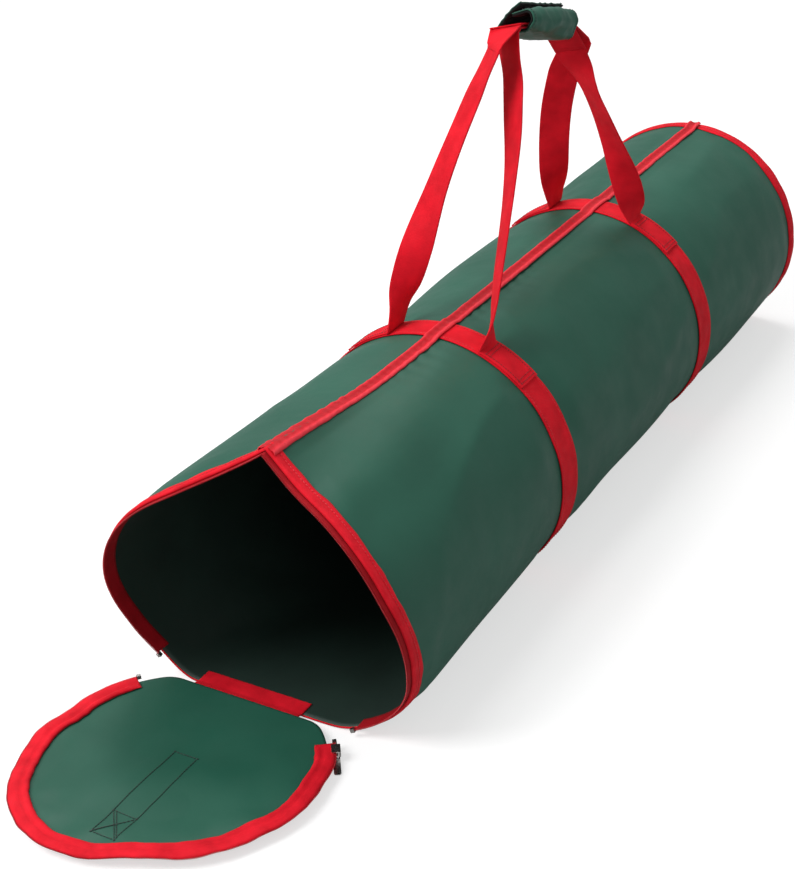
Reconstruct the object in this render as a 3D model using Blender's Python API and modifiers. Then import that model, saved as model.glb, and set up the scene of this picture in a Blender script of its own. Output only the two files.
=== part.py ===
"""Gift wrap organizer: a soft tube bag for long rolls of wrapping paper.

The bag lies on the floor along +Y with its mouth towards -Y and its zipped round flap
folded down in front. Metres, +Z up. The origin is the middle of the underside of the
front webbing band, so the bag stands on z = 0.
"""
import math

import bmesh
import bpy
from mathutils import Matrix, Vector

# Tube
BAG_LENGTH = 1.020
BAG_RADIUS = 0.1377
CENTRE_HEIGHT = 0.1033
BASE_HALF_WIDTH = 0.0440
PANEL_THICKNESS = 0.0012
LAYER_GAP = 0.0003
SEAM_SLIT_HALF = 0.0004
REAR_BULGE = 0.0120

# Webbing bands round the tube, and their places measured from the mouth
FRONT_BAND_FROM_MOUTH = 0.330
REAR_BAND_FROM_MOUTH = 0.702
WEBBING_WIDTH = 0.0350
WEBBING_THICKNESS = 0.0015

# Mouth, drawn out of round by its rolls
MOUTH_LEFT_SPREAD = 0.0108
MOUTH_RIGHT_SPREAD = 0.0008
MOUTH_PEAK_HEIGHT = 0.0220
MOUTH_PEAK_HALF_WIDTH = 0.0550
MOUTH_BASE_LEFT = 0.0910
MOUTH_BASE_RIGHT = 0.0550
MOUTH_BLEND_LENGTH = 0.2270
MOUTH_BINDING_WIDTH = 0.0140
REAR_BINDING_WIDTH = 0.0110
BINDING_THICKNESS = 0.0008

# Seam tape along the top
SEAM_TAPE_WIDTH = 0.0200
SEAM_TAPE_RAMP = 0.0080

# Zip
ZIP_TAPE_THICKNESS = 0.0008
ZIP_TAPE_OVERLAP = 0.0090
ZIP_TAPE_REACH = 0.0053
COIL_RADIUS = 0.0012
MOUTH_COIL_LEAD = 0.0023
STOP_LENGTH = 0.0040
STOP_HALF_HEIGHT = 0.0018

# Round flap lying on the floor in front of the mouth
FLAP_RADIUS = 0.1340
FLAP_OFFSET_LEFT = 0.0330
FLAP_CENTRE_AHEAD = 0.0890
FLAP_CORNER_RADIUS = 0.0275
FLAP_BINDING_WIDTH = 0.0140
HINGE_BEHIND_MOUTH = 0.0165
HINGE_HEIGHT = 0.0045
HINGE_HALF_LENGTH = 0.0550
HINGE_SETBACK = 0.0050
HINGE_TAPE_WIDTH = 0.0200
HINGE_TAPE_GAP = 0.0002
ZIP_HALF_SPAN = math.radians(128.0)
SLIDER_START = math.radians(124.0)
PULL_STRAP_WIDTH = 0.0300
PULL_STRAP_LENGTH = 0.1240
PULL_STRAP_THICKNESS = 0.0013
PULL_STRAP_FRONT = 0.1080

# Slider and its pull tab
SLIDER_LENGTH = 0.0110
SLIDER_HALF_WIDTH = 0.0040
SLIDER_PLATE = 0.0012
SLIDER_GAP = 0.0003
CROWN_HALF_LENGTH = 0.0040
CROWN_WIDTH = 0.0024
CROWN_HOLE = 0.0022
CROWN_WALL = 0.0011
TAB_LENGTH = 0.0240
TAB_HALF_WIDTH = 0.0032
TAB_THICKNESS = 0.0010
TAB_BAR = 0.0010
TAB_WINDOW_LENGTH = 0.0050
TAB_WINDOW_HALF_WIDTH = 0.0018
TAB_TIP_RADIUS = 0.0020
TAB_FLOOR_GAP = 0.0004

# Handles: folds on the bands, and the straight run in the grip (y, z)
FOLD_ANGLE = math.radians(20.0)
STRAP_END_ANGLE = math.radians(42.0)
STRAP_END_START = math.radians(18.5)
HANDLE_WIDTH = 0.0330
HAND_Y = 0.2110
HAND_HEIGHT = 0.4660
HAND_SLOPE = math.radians(-13.7)
LEFT_KINK_FRONT = (-0.1020, 0.0000)
RISE_FRONT = -0.0785
RISE_REAR = 0.0470
LEFT_KINK_REAR = (0.0920, 0.0030)
RIGHT_KINK_REAR = (0.0850, -0.0035)
GRIP_RISE = 0.0180
LEFT_BEND = 0.0140
RIGHT_BEND = 0.0050
STRAP_SPACING = 0.0030
STRAP_TILT = math.radians(14.5)
STRAND_BOW = 1.60
STRAND_STEPS = 14
BEND_STEPS = 4

# Grip wrap: the right handle's half goes under the straps, up their right side and over
# them, and the left handle's half leans over its top. Section: (across, up from the straps).
WRAP_FRONT = -0.0725
WRAP_REAR = 0.0360
WRAP_THICKNESS = 0.0010
LINING_THICKNESS = 0.0015
WRAP_BASE = 0.0200
WRAP_SIDE = (0.0247, 0.0095)
WRAP_SHOULDER = (0.0192, 0.0205)
WRAP_END = (0.0010, 0.0130)
WRAP_BEND = 0.0065
WRAP_SAG = 0.0085
LINING_SETBACK = 0.0040
FLAP_FRONT = -0.0610
FLAP_REAR = 0.0410
FLAP_TIP = (0.0030, 0.0240)
FLAP_MIDDLE = (-0.0085, 0.0142)
FLAP_ROOT = (-0.0184, -0.0024)
FLAP_BEND = 0.0300
STRIP_THICKNESS = 0.0008
STRIP_WIDTH = 0.0100
STRIP_MARGIN = 0.0015

# Mesh steps
ROUND_STEPS = 64
COIL_STEPS = 72

# Places worked out from the sizes above
MOUTH_Y = -FRONT_BAND_FROM_MOUTH
REAR_Y = BAG_LENGTH - FRONT_BAND_FROM_MOUTH
REAR_BAND_Y = REAR_BAND_FROM_MOUTH - FRONT_BAND_FROM_MOUTH
BASE_Z = WEBBING_THICKNESS + LAYER_GAP
MOUTH_LEFT_HALF_WIDTH = BAG_RADIUS + MOUTH_LEFT_SPREAD
MOUTH_RIGHT_HALF_WIDTH = BAG_RADIUS + MOUTH_RIGHT_SPREAD
HINGE_Y = MOUTH_Y + HINGE_BEHIND_MOUTH
PANEL_EDGE_Y = HINGE_Y + HINGE_SETBACK
FLAP_X = -FLAP_OFFSET_LEFT
FLAP_Y = MOUTH_Y - FLAP_CENTRE_AHEAD
BAND_TOP = LAYER_GAP + WEBBING_THICKNESS
STRAP_END_TOP = BAND_TOP + LAYER_GAP + WEBBING_THICKNESS
FOLD_OFFSET = STRAP_END_TOP + LAYER_GAP + WEBBING_THICKNESS / 2

# Flap levels above the floor, outer side down
FLAP_SKIN_Z = HINGE_HEIGHT + ZIP_TAPE_THICKNESS / 2
FLAP_BINDING_TOP = FLAP_SKIN_Z + BINDING_THICKNESS
FLAP_PANEL_Z = FLAP_BINDING_TOP + LAYER_GAP
FLAP_TAPE_Z = FLAP_PANEL_Z + PANEL_THICKNESS + LAYER_GAP
COIL_Z = FLAP_TAPE_Z + ZIP_TAPE_THICKNESS / 2
COIL_PATH_RADIUS = FLAP_RADIUS - COIL_RADIUS
TAPE_EDGE_RADIUS = COIL_PATH_RADIUS - COIL_RADIUS - LAYER_GAP
FLAP_EDGE_RADIUS = TAPE_EDGE_RADIUS - ZIP_TAPE_REACH

# The rim of the mouth stands ahead of or behind the mouth plane: turn round the tube
# (0 at the top, 1 at the bottom, plus to the right) and distance in bag radii.
RIM_SHARES = (
    (-1.00, None), (-0.84, None), (-0.70, 0.150), (-0.60, 0.050), (-0.50, -0.085),
    (-0.41, -0.165), (-0.30, -0.215), (-0.21, -0.210), (-0.15, -0.150), (-0.095, 0.030),
    (-0.05, 0.130), (0.00, 0.150), (0.09, 0.080), (0.22, -0.005), (0.345, -0.025),
    (0.445, 0.035), (0.53, 0.100), (0.62, 0.190), (0.72, 0.215), (0.84, None), (1.00, None),
)
ARC_SHARE = 0.50
CORNER_SHARE = 0.84
LENGTH_SHARES = (0.0, 0.025, 0.06, 0.10, 0.15, 0.20, 0.26, 0.40, 0.60, 0.80, 1.0)

# Direction of the strap's width, in degrees from +X towards +Y, along each handle:
# share of the strand from its fold to the grip, then the angle.
LEFT_FRONT_TWIST = ((0.0, 90.0), (0.06, 86.0), (0.16, 48.0), (0.45, 0.0), (0.85, -10.0), (1.0, 0.0))
LEFT_REAR_TWIST = ((0.0, 90.0), (0.12, 98.0), (0.50, 38.0), (0.80, 24.0), (0.93, 12.0), (1.0, 0.0))
RIGHT_FRONT_TWIST = ((0.0, 90.0), (0.30, 119.0), (0.70, 155.0), (1.0, 180.0))
RIGHT_REAR_TWIST = (
    (0.0, 270.0), (0.06, 266.0), (0.16, 220.0), (0.40, 176.0), (0.60, 156.0), (0.82, 184.0),
    (1.0, 180.0),
)

COLOURS = {
    "green_coated": ((0.018, 0.085, 0.052, 1.0), 0.45, 0.0),
    "red_tape": ((0.640, 0.012, 0.022, 1.0), 0.70, 0.0),
    "red_webbing": ((0.600, 0.010, 0.018, 1.0), 0.65, 0.0),
    "black_lining": ((0.008, 0.010, 0.009, 1.0), 0.85, 0.0),
    "red_coil": ((0.500, 0.010, 0.018, 1.0), 0.40, 0.0),
    "slider_metal": ((0.450, 0.440, 0.430, 1.0), 0.30, 1.0),
}


def clear_scene():
    for item in list(bpy.data.objects):
        bpy.data.objects.remove(item)


def make_materials():
    materials = {}
    for name, (colour, roughness, metallic) in COLOURS.items():
        material = bpy.data.materials.new(name)
        material.use_nodes = True
        shader = material.node_tree.nodes["Principled BSDF"]
        shader.inputs["Base Color"].default_value = colour
        shader.inputs["Roughness"].default_value = roughness
        shader.inputs["Metallic"].default_value = metallic
        materials[name] = material
    return materials


def smooth_step(share):
    share = min(max(share, 0.0), 1.0)
    return share * share * (3.0 - 2.0 * share)


def spline_value(keys, place):
    """Catmull-Rom value at a place along (place, value) keys."""
    last = len(keys) - 1
    index = 0
    while index < last - 1 and place > keys[index + 1][0]:
        index += 1
    start, end = keys[index], keys[index + 1]
    before = keys[max(index - 1, 0)]
    after = keys[min(index + 2, last)]
    span = end[0] - start[0]
    share = min(max((place - start[0]) / span, 0.0), 1.0)
    slope_in = (end[1] - before[1]) / (end[0] - before[0]) * span
    slope_out = (after[1] - start[1]) / (after[0] - start[0]) * span
    square = share * share
    cube = square * share
    value = (2 * cube - 3 * square + 1) * start[1] + (3 * square - 2 * cube) * end[1]
    return value + (cube - 2 * square + share) * slope_in + (cube - square) * slope_out


def rim_keys():
    """Rim places in metres: the base keys follow the hinge, the rest follow the radius."""
    keys = []
    for turn, share in RIM_SHARES:
        keys.append((turn, PANEL_EDGE_Y if share is None else MOUTH_Y + share * BAG_RADIUS))
    return keys


RIM_KEYS = rim_keys()


def wrap_turn(turn):
    return turn - 2.0 if turn > 1.0 else turn


def rim_y(turn):
    return spline_value(RIM_KEYS, wrap_turn(turn))


def section_point(turn, mouth):
    """Outer face of the tube at a turn; mouth runs from 0, round, to 1, drawn out."""
    turn = wrap_turn(turn)
    mouth_half = MOUTH_RIGHT_HALF_WIDTH if turn > 0 else MOUTH_LEFT_HALF_WIDTH
    mouth_base = MOUTH_BASE_RIGHT if turn > 0 else MOUTH_BASE_LEFT
    half = BAG_RADIUS + (mouth_half - BAG_RADIUS) * mouth
    base = BASE_HALF_WIDTH + (mouth_base - BASE_HALF_WIDTH) * mouth
    side = math.copysign(1.0, turn)
    reach = abs(turn)
    if reach <= ARC_SHARE:
        angle = math.pi * reach
        across = half * math.sin(angle)
        peak = max(1.0 - across / MOUTH_PEAK_HALF_WIDTH, 0.0) ** 2
        height = CENTRE_HEIGHT + BAG_RADIUS * math.cos(angle)
        return Vector((side * across, height + mouth * MOUTH_PEAK_HEIGHT * peak))
    if reach <= CORNER_SHARE:
        angle = math.pi / 2 * (reach - ARC_SHARE) / (CORNER_SHARE - ARC_SHARE)
        across = base + (half - base) * math.cos(angle)
        return Vector((side * across, CENTRE_HEIGHT * (1.0 - math.sin(angle))))
    return Vector((side * base * (1.0 - reach) / (1.0 - CORNER_SHARE), 0.0))


TURN_STEP = 0.002


def tube_point(turn, y, offset):
    """A point of the tube: turn round it, place along it, and distance outside its face."""
    mouth = smooth_step((MOUTH_Y + MOUTH_BLEND_LENGTH - y) / MOUTH_BLEND_LENGTH)
    here = section_point(turn, mouth)
    if 1.0 - abs(wrap_turn(turn)) < TURN_STEP:
        normal = Vector((0.0, -1.0))
    else:
        along = section_point(turn + TURN_STEP, mouth) - section_point(turn - TURN_STEP, mouth)
        normal = Vector((-along.y, along.x)).normalized()
    spot = here + normal * offset
    return Vector((spot.x, y, BASE_Z + spot.y))


def keep(obj, name, material):
    """Name an object, give it its material and put it in the organizer's collection."""
    obj.name = name
    obj.data.name = name
    obj.data.materials.clear()
    obj.data.materials.append(material)
    for collection in list(obj.users_collection):
        collection.objects.unlink(obj)
    bpy.data.collections["gift_wrap_organizer"].objects.link(obj)
    return obj


def sheet(name, rows, thickness, material, closed=False, middle=False):
    """A grid of points, outer face up, given a wall on its inner side or on both."""
    mesh = bpy.data.meshes.new(name)
    builder = bmesh.new()
    grid = [[builder.verts.new(point) for point in row] for row in rows]
    count = len(grid)
    for index in range(count if closed else count - 1):
        first, second = grid[index], grid[(index + 1) % count]
        for place in range(len(first) - 1):
            builder.faces.new((first[place], second[place], second[place + 1], first[place + 1]))
    builder.to_mesh(mesh)
    builder.free()
    mesh.shade_smooth()
    obj = bpy.data.objects.new(name, mesh)
    bpy.context.scene.collection.objects.link(obj)
    wall = obj.modifiers.new("Wall", 'SOLIDIFY')
    wall.thickness = thickness
    wall.offset = 0.0 if middle else -1.0
    return keep(obj, name, material)


def turns_between(start, end, steps):
    return [start + (end - start) * index / steps for index in range(steps + 1)]


def tube_sheet(name, turns, places, offset, thickness, material, closed=False):
    """A sheet on the tube; places gives the points along the tube for one turn."""
    rows = [[tube_point(turn, y, offset) for y in places(turn)] for turn in turns]
    return sheet(name, rows, thickness, material, closed)


def plate(name, loops, low, thickness, material, place=None):
    """A flat piece from outlines (the first round it, the rest holes), low to low + thickness."""
    curve = bpy.data.curves.new(name, 'CURVE')
    curve.dimensions = '2D'
    curve.fill_mode = 'BOTH'
    curve.extrude = thickness / 2
    for loop in loops:
        spline = curve.splines.new('POLY')
        spline.points.add(len(loop) - 1)
        for point, (across, along) in zip(spline.points, loop):
            point.co = (across, along, 0.0, 1.0)
        spline.use_cyclic_u = True
    obj = bpy.data.objects.new(name, curve)
    bpy.context.scene.collection.objects.link(obj)
    frame = place if place else Matrix.Identity(4)
    obj.matrix_world = frame @ Matrix.Translation((0.0, 0.0, low + thickness / 2))
    return keep(obj, name, material)


def cord(name, points, radius, material):
    """A round bead along points."""
    curve = bpy.data.curves.new(name, 'CURVE')
    curve.dimensions = '3D'
    curve.bevel_depth = radius
    curve.bevel_resolution = 1
    curve.use_fill_caps = True
    spline = curve.splines.new('POLY')
    spline.points.add(len(points) - 1)
    for point, place in zip(spline.points, points):
        point.co = (*place, 1.0)
    obj = bpy.data.objects.new(name, curve)
    bpy.context.scene.collection.objects.link(obj)
    return keep(obj, name, material)


def box(name, size, frame, material):
    """A block of a size, its middle at the frame's origin and its sides along the frame."""
    bpy.ops.mesh.primitive_cube_add(size=1.0)
    obj = bpy.context.object
    obj.data.transform(Matrix.Diagonal((*size, 1.0)))
    obj.matrix_world = frame
    return keep(obj, name, material)


def frame_at(origin, across, along):
    """Axes at a point: X across, Y along, Z up from both."""
    up = across.cross(along)
    matrix = Matrix((across, along, up)).transposed().to_4x4()
    matrix.translation = origin
    return matrix


# Tube, its end and its trims

def main_panel(materials):
    slit = SEAM_SLIT_HALF / (math.pi * BAG_RADIUS)

    def places(turn):
        front = rim_y(turn)
        return [front + (REAR_Y - front) * share for share in LENGTH_SHARES]

    turns = turns_between(slit, 2.0 - slit, ROUND_STEPS)
    tube_sheet("main_panel", turns, places, 0.0, PANEL_THICKNESS, materials["green_coated"])


def rear_panel(materials):
    """The round end: rings from its seam to its middle, bulging a little."""
    ring_shares = (1.0, 0.96, 0.82, 0.62, 0.38, 0.14)
    turns = turns_between(-1.0, 1.0, ROUND_STEPS)[:-1]
    centre = Vector((0.0, REAR_Y, BASE_Z + CENTRE_HEIGHT))
    rows = []
    for turn in turns:
        edge = tube_point(turn, REAR_Y, 0.0)
        row = []
        for share in ring_shares:
            spot = centre.lerp(edge, share)
            bulge = LAYER_GAP + PANEL_THICKNESS + REAR_BULGE * (1.0 - share * share)
            row.append(Vector((spot.x, REAR_Y + bulge, spot.z)))
        rows.append(row)
    obj = sheet("rear_panel", rows, PANEL_THICKNESS, materials["green_coated"], closed=True)
    builder = bmesh.new()
    builder.from_mesh(obj.data)
    border = [edge for edge in builder.edges if edge.is_boundary]
    inner = [edge for edge in border if edge.calc_length() < BAG_RADIUS * ring_shares[-1] / 2]
    inner = [edge for edge in inner if (edge.verts[0].co - centre).length < BAG_RADIUS / 2]
    bmesh.ops.contextual_create(builder, geom=inner)
    builder.to_mesh(obj.data)
    builder.free()


def rear_binding(materials):
    front = REAR_Y - REAR_BINDING_WIDTH
    back = REAR_Y + 2 * LAYER_GAP + PANEL_THICKNESS
    turns = turns_between(-1.0, 1.0, ROUND_STEPS)[:-1]
    tube_sheet("rear_binding", turns, lambda turn: (front, back), LAYER_GAP + BINDING_THICKNESS,
               BINDING_THICKNESS, materials["red_tape"], closed=True)


def mouth_binding(materials):
    turns = turns_between(-1.0, 1.0, ROUND_STEPS)[:-1]

    def places(turn):
        front = rim_y(turn)
        return (front, front + MOUTH_BINDING_WIDTH)

    tube_sheet("mouth_binding", turns, places, LAYER_GAP + BINDING_THICKNESS,
               BINDING_THICKNESS, materials["red_tape"], closed=True)


MOUTH_ZIP_SHARES = (-0.69, 0.78)


def mouth_zip(materials):
    """Zip tape inside the rim, reaching ahead of it, with its coil and two stops."""
    start, end = MOUTH_ZIP_SHARES
    inside = -PANEL_THICKNESS - LAYER_GAP

    def places(turn):
        front = rim_y(turn)
        return (front - ZIP_TAPE_REACH, front, front + ZIP_TAPE_OVERLAP)

    tube_sheet("mouth_zip_tape", turns_between(start, end, ROUND_STEPS), places, inside,
               ZIP_TAPE_THICKNESS, materials["red_tape"])
    middle = inside - ZIP_TAPE_THICKNESS / 2
    ahead = ZIP_TAPE_REACH + MOUTH_COIL_LEAD
    points = [tube_point(turn, rim_y(turn) - ahead, middle)
              for turn in turns_between(start, end, COIL_STEPS)]
    cord("mouth_zip_coil", points, COIL_RADIUS, materials["red_coil"])
    for side, near, inner in (("left", points[0], points[1]), ("right", points[-1], points[-2])):
        out = (near - inner).normalized()
        across = out.cross(Vector((0.0, 1.0, 0.0))).normalized()
        place = near + out * (LAYER_GAP + STOP_LENGTH / 2)
        size = (2 * STOP_HALF_HEIGHT, STOP_LENGTH, 2 * STOP_HALF_HEIGHT)
        box("mouth_zip_stop_" + side, size, frame_at(place, across, out), materials["slider_metal"])


def top_seam_tape(materials):
    """The tape over the long seam: it climbs over both bands and both end bindings."""
    half = SEAM_TAPE_WIDTH / 2 / (math.pi * BAG_RADIUS)
    low = LAYER_GAP + BINDING_THICKNESS
    over_binding = 2 * (LAYER_GAP + BINDING_THICKNESS)
    over_band = BAND_TOP + LAYER_GAP + BINDING_THICKNESS
    bind_end = MOUTH_BINDING_WIDTH + LAYER_GAP
    stations = [(None, over_binding), (bind_end, over_binding), (bind_end + SEAM_TAPE_RAMP, low)]
    half_band = WEBBING_WIDTH / 2 + LAYER_GAP
    for middle in (0.0, REAR_BAND_Y):
        stations.append((middle - half_band - SEAM_TAPE_RAMP, low))
        stations.append((middle - half_band, over_band))
        stations.append((middle + half_band, over_band))
        stations.append((middle + half_band + SEAM_TAPE_RAMP, low))
    rear_step = REAR_Y - REAR_BINDING_WIDTH - LAYER_GAP
    stations.append((rear_step - SEAM_TAPE_RAMP, low))
    stations.append((rear_step, over_binding))
    stations.append((REAR_Y, over_binding))
    rows = []
    for turn in turns_between(-half, half, 4):
        front = rim_y(turn)
        row = []
        for index, (y, offset) in enumerate(stations):
            if index == 0:
                y = front + LAYER_GAP
            elif index <= 2:
                y = front + y
            row.append(tube_point(turn, y, offset))
        rows.append(row)
    sheet("top_seam_tape", rows, BINDING_THICKNESS, materials["red_tape"])


def bands(materials):
    turns = turns_between(-1.0, 1.0, ROUND_STEPS)[:-1]
    half = WEBBING_WIDTH / 2
    for name, middle in (("front_band", 0.0), ("rear_band", REAR_BAND_Y)):
        tube_sheet(name, turns, lambda turn: (middle - half, middle + half), BAND_TOP,
                   WEBBING_THICKNESS, materials["red_webbing"], closed=True)


def strap_ends(materials):
    """The sewn-down ends of the handles, flat on the bands below the folds."""
    half = HANDLE_WIDTH / 2
    top, low = STRAP_END_START / math.pi, STRAP_END_ANGLE / math.pi
    for band, middle in (("front", 0.0), ("rear", REAR_BAND_Y)):
        for side, start, end in (("left", -low, -top), ("right", top, low)):
            tube_sheet(band + "_" + side + "_strap_end", turns_between(start, end, 6),
                       lambda turn: (middle - half, middle + half), STRAP_END_TOP,
                       WEBBING_THICKNESS, materials["red_webbing"])


# Flap

def arc_points(centre, radius, start, end, steps):
    """Points on an arc; the angle is 0 to the front and grows to the right."""
    points = []
    for angle in turns_between(start, end, steps):
        points.append((centre[0] + radius * math.sin(angle), centre[1] - radius * math.cos(angle)))
    return points


def flap_outline(radius):
    """A circle cut by the hinge chord, with round corners at the chord's ends."""
    chord = PANEL_CHORD
    inner = radius - FLAP_CORNER_RADIUS
    rise = chord - FLAP_CORNER_RADIUS
    across = math.sqrt(inner * inner - rise * rise)
    meet = math.pi - math.atan2(across, rise)
    right = (FLAP_X + across, FLAP_Y + rise)
    left = (FLAP_X - across, FLAP_Y + rise)
    points = arc_points((FLAP_X, FLAP_Y), radius, -meet, meet, ROUND_STEPS - 8)
    points += arc_points(right, FLAP_CORNER_RADIUS, meet, math.pi, 6)[1:]
    points += arc_points(left, FLAP_CORNER_RADIUS, -math.pi, -meet, 6)[:-1]
    return points


PANEL_CHORD = HINGE_Y - HINGE_SETBACK - FLAP_Y


def ring_sector(inner, outer, half_span):
    """The outline of a flat ring round the front of the flap."""
    middle = (FLAP_X, FLAP_Y)
    out = arc_points(middle, outer, -half_span, half_span, ROUND_STEPS - 8)
    back = arc_points(middle, inner, half_span, -half_span, ROUND_STEPS - 8)
    return out + back


def flap_layers(materials):
    plate("flap_panel", [flap_outline(FLAP_EDGE_RADIUS)], FLAP_PANEL_Z, PANEL_THICKNESS,
          materials["green_coated"])
    binding = ring_sector(FLAP_EDGE_RADIUS - FLAP_BINDING_WIDTH, FLAP_EDGE_RADIUS, ZIP_HALF_SPAN)
    plate("flap_binding", [binding], FLAP_SKIN_Z, BINDING_THICKNESS, materials["red_tape"])
    tape = ring_sector(FLAP_EDGE_RADIUS - ZIP_TAPE_OVERLAP, TAPE_EDGE_RADIUS, ZIP_HALF_SPAN)
    plate("flap_zip_tape", [tape], FLAP_TAPE_Z, ZIP_TAPE_THICKNESS, materials["red_tape"])


def flap_coil(materials):
    ring = arc_points((FLAP_X, FLAP_Y), COIL_PATH_RADIUS, -ZIP_HALF_SPAN, ZIP_HALF_SPAN, COIL_STEPS)
    points = [Vector((across, along, COIL_Z)) for across, along in ring]
    cord("flap_zip_coil", points, COIL_RADIUS, materials["red_coil"])
    stop_span = (LAYER_GAP + STOP_LENGTH / 2) / COIL_PATH_RADIUS
    for side, sign in (("left", -1.0), ("right", 1.0)):
        angle = sign * (ZIP_HALF_SPAN + stop_span)
        out, along, place = coil_frame(angle)
        size = (2 * STOP_HALF_HEIGHT, STOP_LENGTH, 2 * STOP_HALF_HEIGHT)
        box("flap_zip_stop_" + side, size, frame_at(place, out, along), materials["slider_metal"])


def coil_frame(angle):
    """Outward and forward-to-right directions of the flap's coil, and a point on it."""
    out = Vector((math.sin(angle), -math.cos(angle), 0.0))
    along = Vector((math.cos(angle), math.sin(angle), 0.0))
    centre = Vector((FLAP_X, FLAP_Y, COIL_Z))
    return out, along, centre + out * COIL_PATH_RADIUS


def rectangle(low_x, high_x, low_y, high_y):
    return [(low_x, low_y), (high_x, low_y), (high_x, high_y), (low_x, high_y)]


def hinge_tapes(materials):
    """The living hinge in two tapes that meet at its line, one for the bag and one for the flap."""
    left, right = FLAP_X - HINGE_HALF_LENGTH, FLAP_X + HINGE_HALF_LENGTH
    flap_part = rectangle(left, right, HINGE_Y - HINGE_TAPE_WIDTH, HINGE_Y - HINGE_TAPE_GAP)
    plate("flap_hinge_tape", [flap_part], FLAP_SKIN_Z, ZIP_TAPE_THICKNESS, materials["red_tape"])
    bag_part = rectangle(left, right, HINGE_Y + HINGE_TAPE_GAP, HINGE_Y + HINGE_TAPE_WIDTH)
    low = BASE_Z + PANEL_THICKNESS + LAYER_GAP
    plate("mouth_hinge_tape", [bag_part], low, ZIP_TAPE_THICKNESS, materials["red_tape"])


def flap_pull_strap(materials):
    """Flat webbing sewn on the outer side of the flap, to pull the end by."""
    front = FLAP_Y - PULL_STRAP_FRONT
    half = PULL_STRAP_WIDTH / 2
    outline = rectangle(FLAP_X - half, FLAP_X + half, front, front + PULL_STRAP_LENGTH)
    low = FLAP_PANEL_Z - LAYER_GAP - PULL_STRAP_THICKNESS
    plate("flap_pull_strap", [outline], low, PULL_STRAP_THICKNESS, materials["red_webbing"])


# Slider

def cut_or_join(target, other, operation):
    step = target.modifiers.new(operation.title(), 'BOOLEAN')
    step.operation = operation
    step.object = other
    step.solver = 'EXACT'


def helper(name, loops, thickness, frame):
    """A solid used only to shape another one."""
    obj = plate(name, loops, -thickness / 2, thickness, bpy.data.materials["slider_metal"], frame)
    mesh = bpy.data.meshes.new_from_object(obj.evaluated_get(bpy.context.evaluated_depsgraph_get()))
    builder = bmesh.new()
    builder.from_mesh(mesh)
    bmesh.ops.remove_doubles(builder, verts=builder.verts, dist=LAYER_GAP / 10)
    builder.to_mesh(mesh)
    builder.free()
    made = bpy.data.objects.new(name + "_solid", mesh)
    made.matrix_world = obj.matrix_world.copy()
    curve = obj.data
    bpy.data.objects.remove(obj)
    bpy.data.curves.remove(curve)
    bpy.data.collections["shaping"].objects.link(made)
    made.hide_render = True
    made.display_type = 'WIRE'
    return made


def zip_slider(materials):
    """Two plates joined along the outer side, so the coil runs between them, and a crown below."""
    out, along, place = coil_frame(SLIDER_START)
    gap = COIL_RADIUS + SLIDER_GAP
    face = gap + SLIDER_PLATE
    wide = SLIDER_HALF_WIDTH
    channel = [(-wide, -face), (wide, -face), (wide, face), (-wide, face),
               (-wide, gap), (gap, gap), (gap, -gap), (-wide, -gap)]
    upright = Vector((0.0, 0.0, 1.0))
    section_frame = Matrix((out, upright, out.cross(upright))).transposed().to_4x4()
    section_frame.translation = place
    body = helper("slider_body", [channel], SLIDER_LENGTH, section_frame)
    low = -face - CROWN_HOLE - CROWN_WALL
    half = CROWN_HALF_LENGTH
    top = -face + SLIDER_PLATE / 2
    inner = half - CROWN_WALL
    crown = [(-half, top), (-half, low), (half, low), (half, top),
             (inner, top), (inner, -face - CROWN_HOLE), (-inner, -face - CROWN_HOLE), (-inner, top)]
    side_frame = Matrix((along, upright, along.cross(upright))).transposed().to_4x4()
    side_frame.translation = place
    crown_solid = helper("slider_crown", [crown], CROWN_WIDTH, side_frame)
    cut_or_join(body, crown_solid, 'UNION')
    body.hide_render = False
    body.display_type = 'TEXTURED'
    keep(body, "zip_slider", materials["slider_metal"])


def tab_hinge():
    """Axis of the pull tab: the point in the crown's hole, its axis and the tab's direction."""
    out, along, place = coil_frame(SLIDER_START)
    drop = COIL_RADIUS + SLIDER_GAP + SLIDER_PLATE + CROWN_HOLE / 2
    pivot = place - Vector((0.0, 0.0, drop))
    fall = pivot.z - TAB_FLOOR_GAP - TAB_THICKNESS / 2
    droop = math.asin(fall / TAB_LENGTH)
    direction = -along * math.cos(droop) - Vector((0.0, 0.0, math.sin(droop)))
    return pivot, out, direction


def zip_pull_tab(materials):
    """A flat tab whose end bar runs through the crown."""
    pivot, out, direction = tab_hinge()
    end = TAB_LENGTH
    tip = TAB_HALF_WIDTH - TAB_TIP_RADIUS
    outline = [(-TAB_HALF_WIDTH, -TAB_BAR / 2), (TAB_HALF_WIDTH, -TAB_BAR / 2)]
    for side, start in ((1.0, math.pi / 2), (-1.0, math.pi)):
        for angle in turns_between(start, start + math.pi / 2, 4):
            across = side * tip + TAB_TIP_RADIUS * math.sin(angle)
            outline.append((across, end - TAB_TIP_RADIUS - TAB_TIP_RADIUS * math.cos(angle)))
    window = rectangle(-TAB_WINDOW_HALF_WIDTH, TAB_WINDOW_HALF_WIDTH, TAB_BAR / 2,
                       TAB_BAR / 2 + TAB_WINDOW_LENGTH)
    frame = frame_at(pivot, out, direction)
    plate("zip_pull_tab", [outline, window], -TAB_THICKNESS / 2, TAB_THICKNESS,
          materials["slider_metal"], frame)


# Handles and grip

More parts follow.
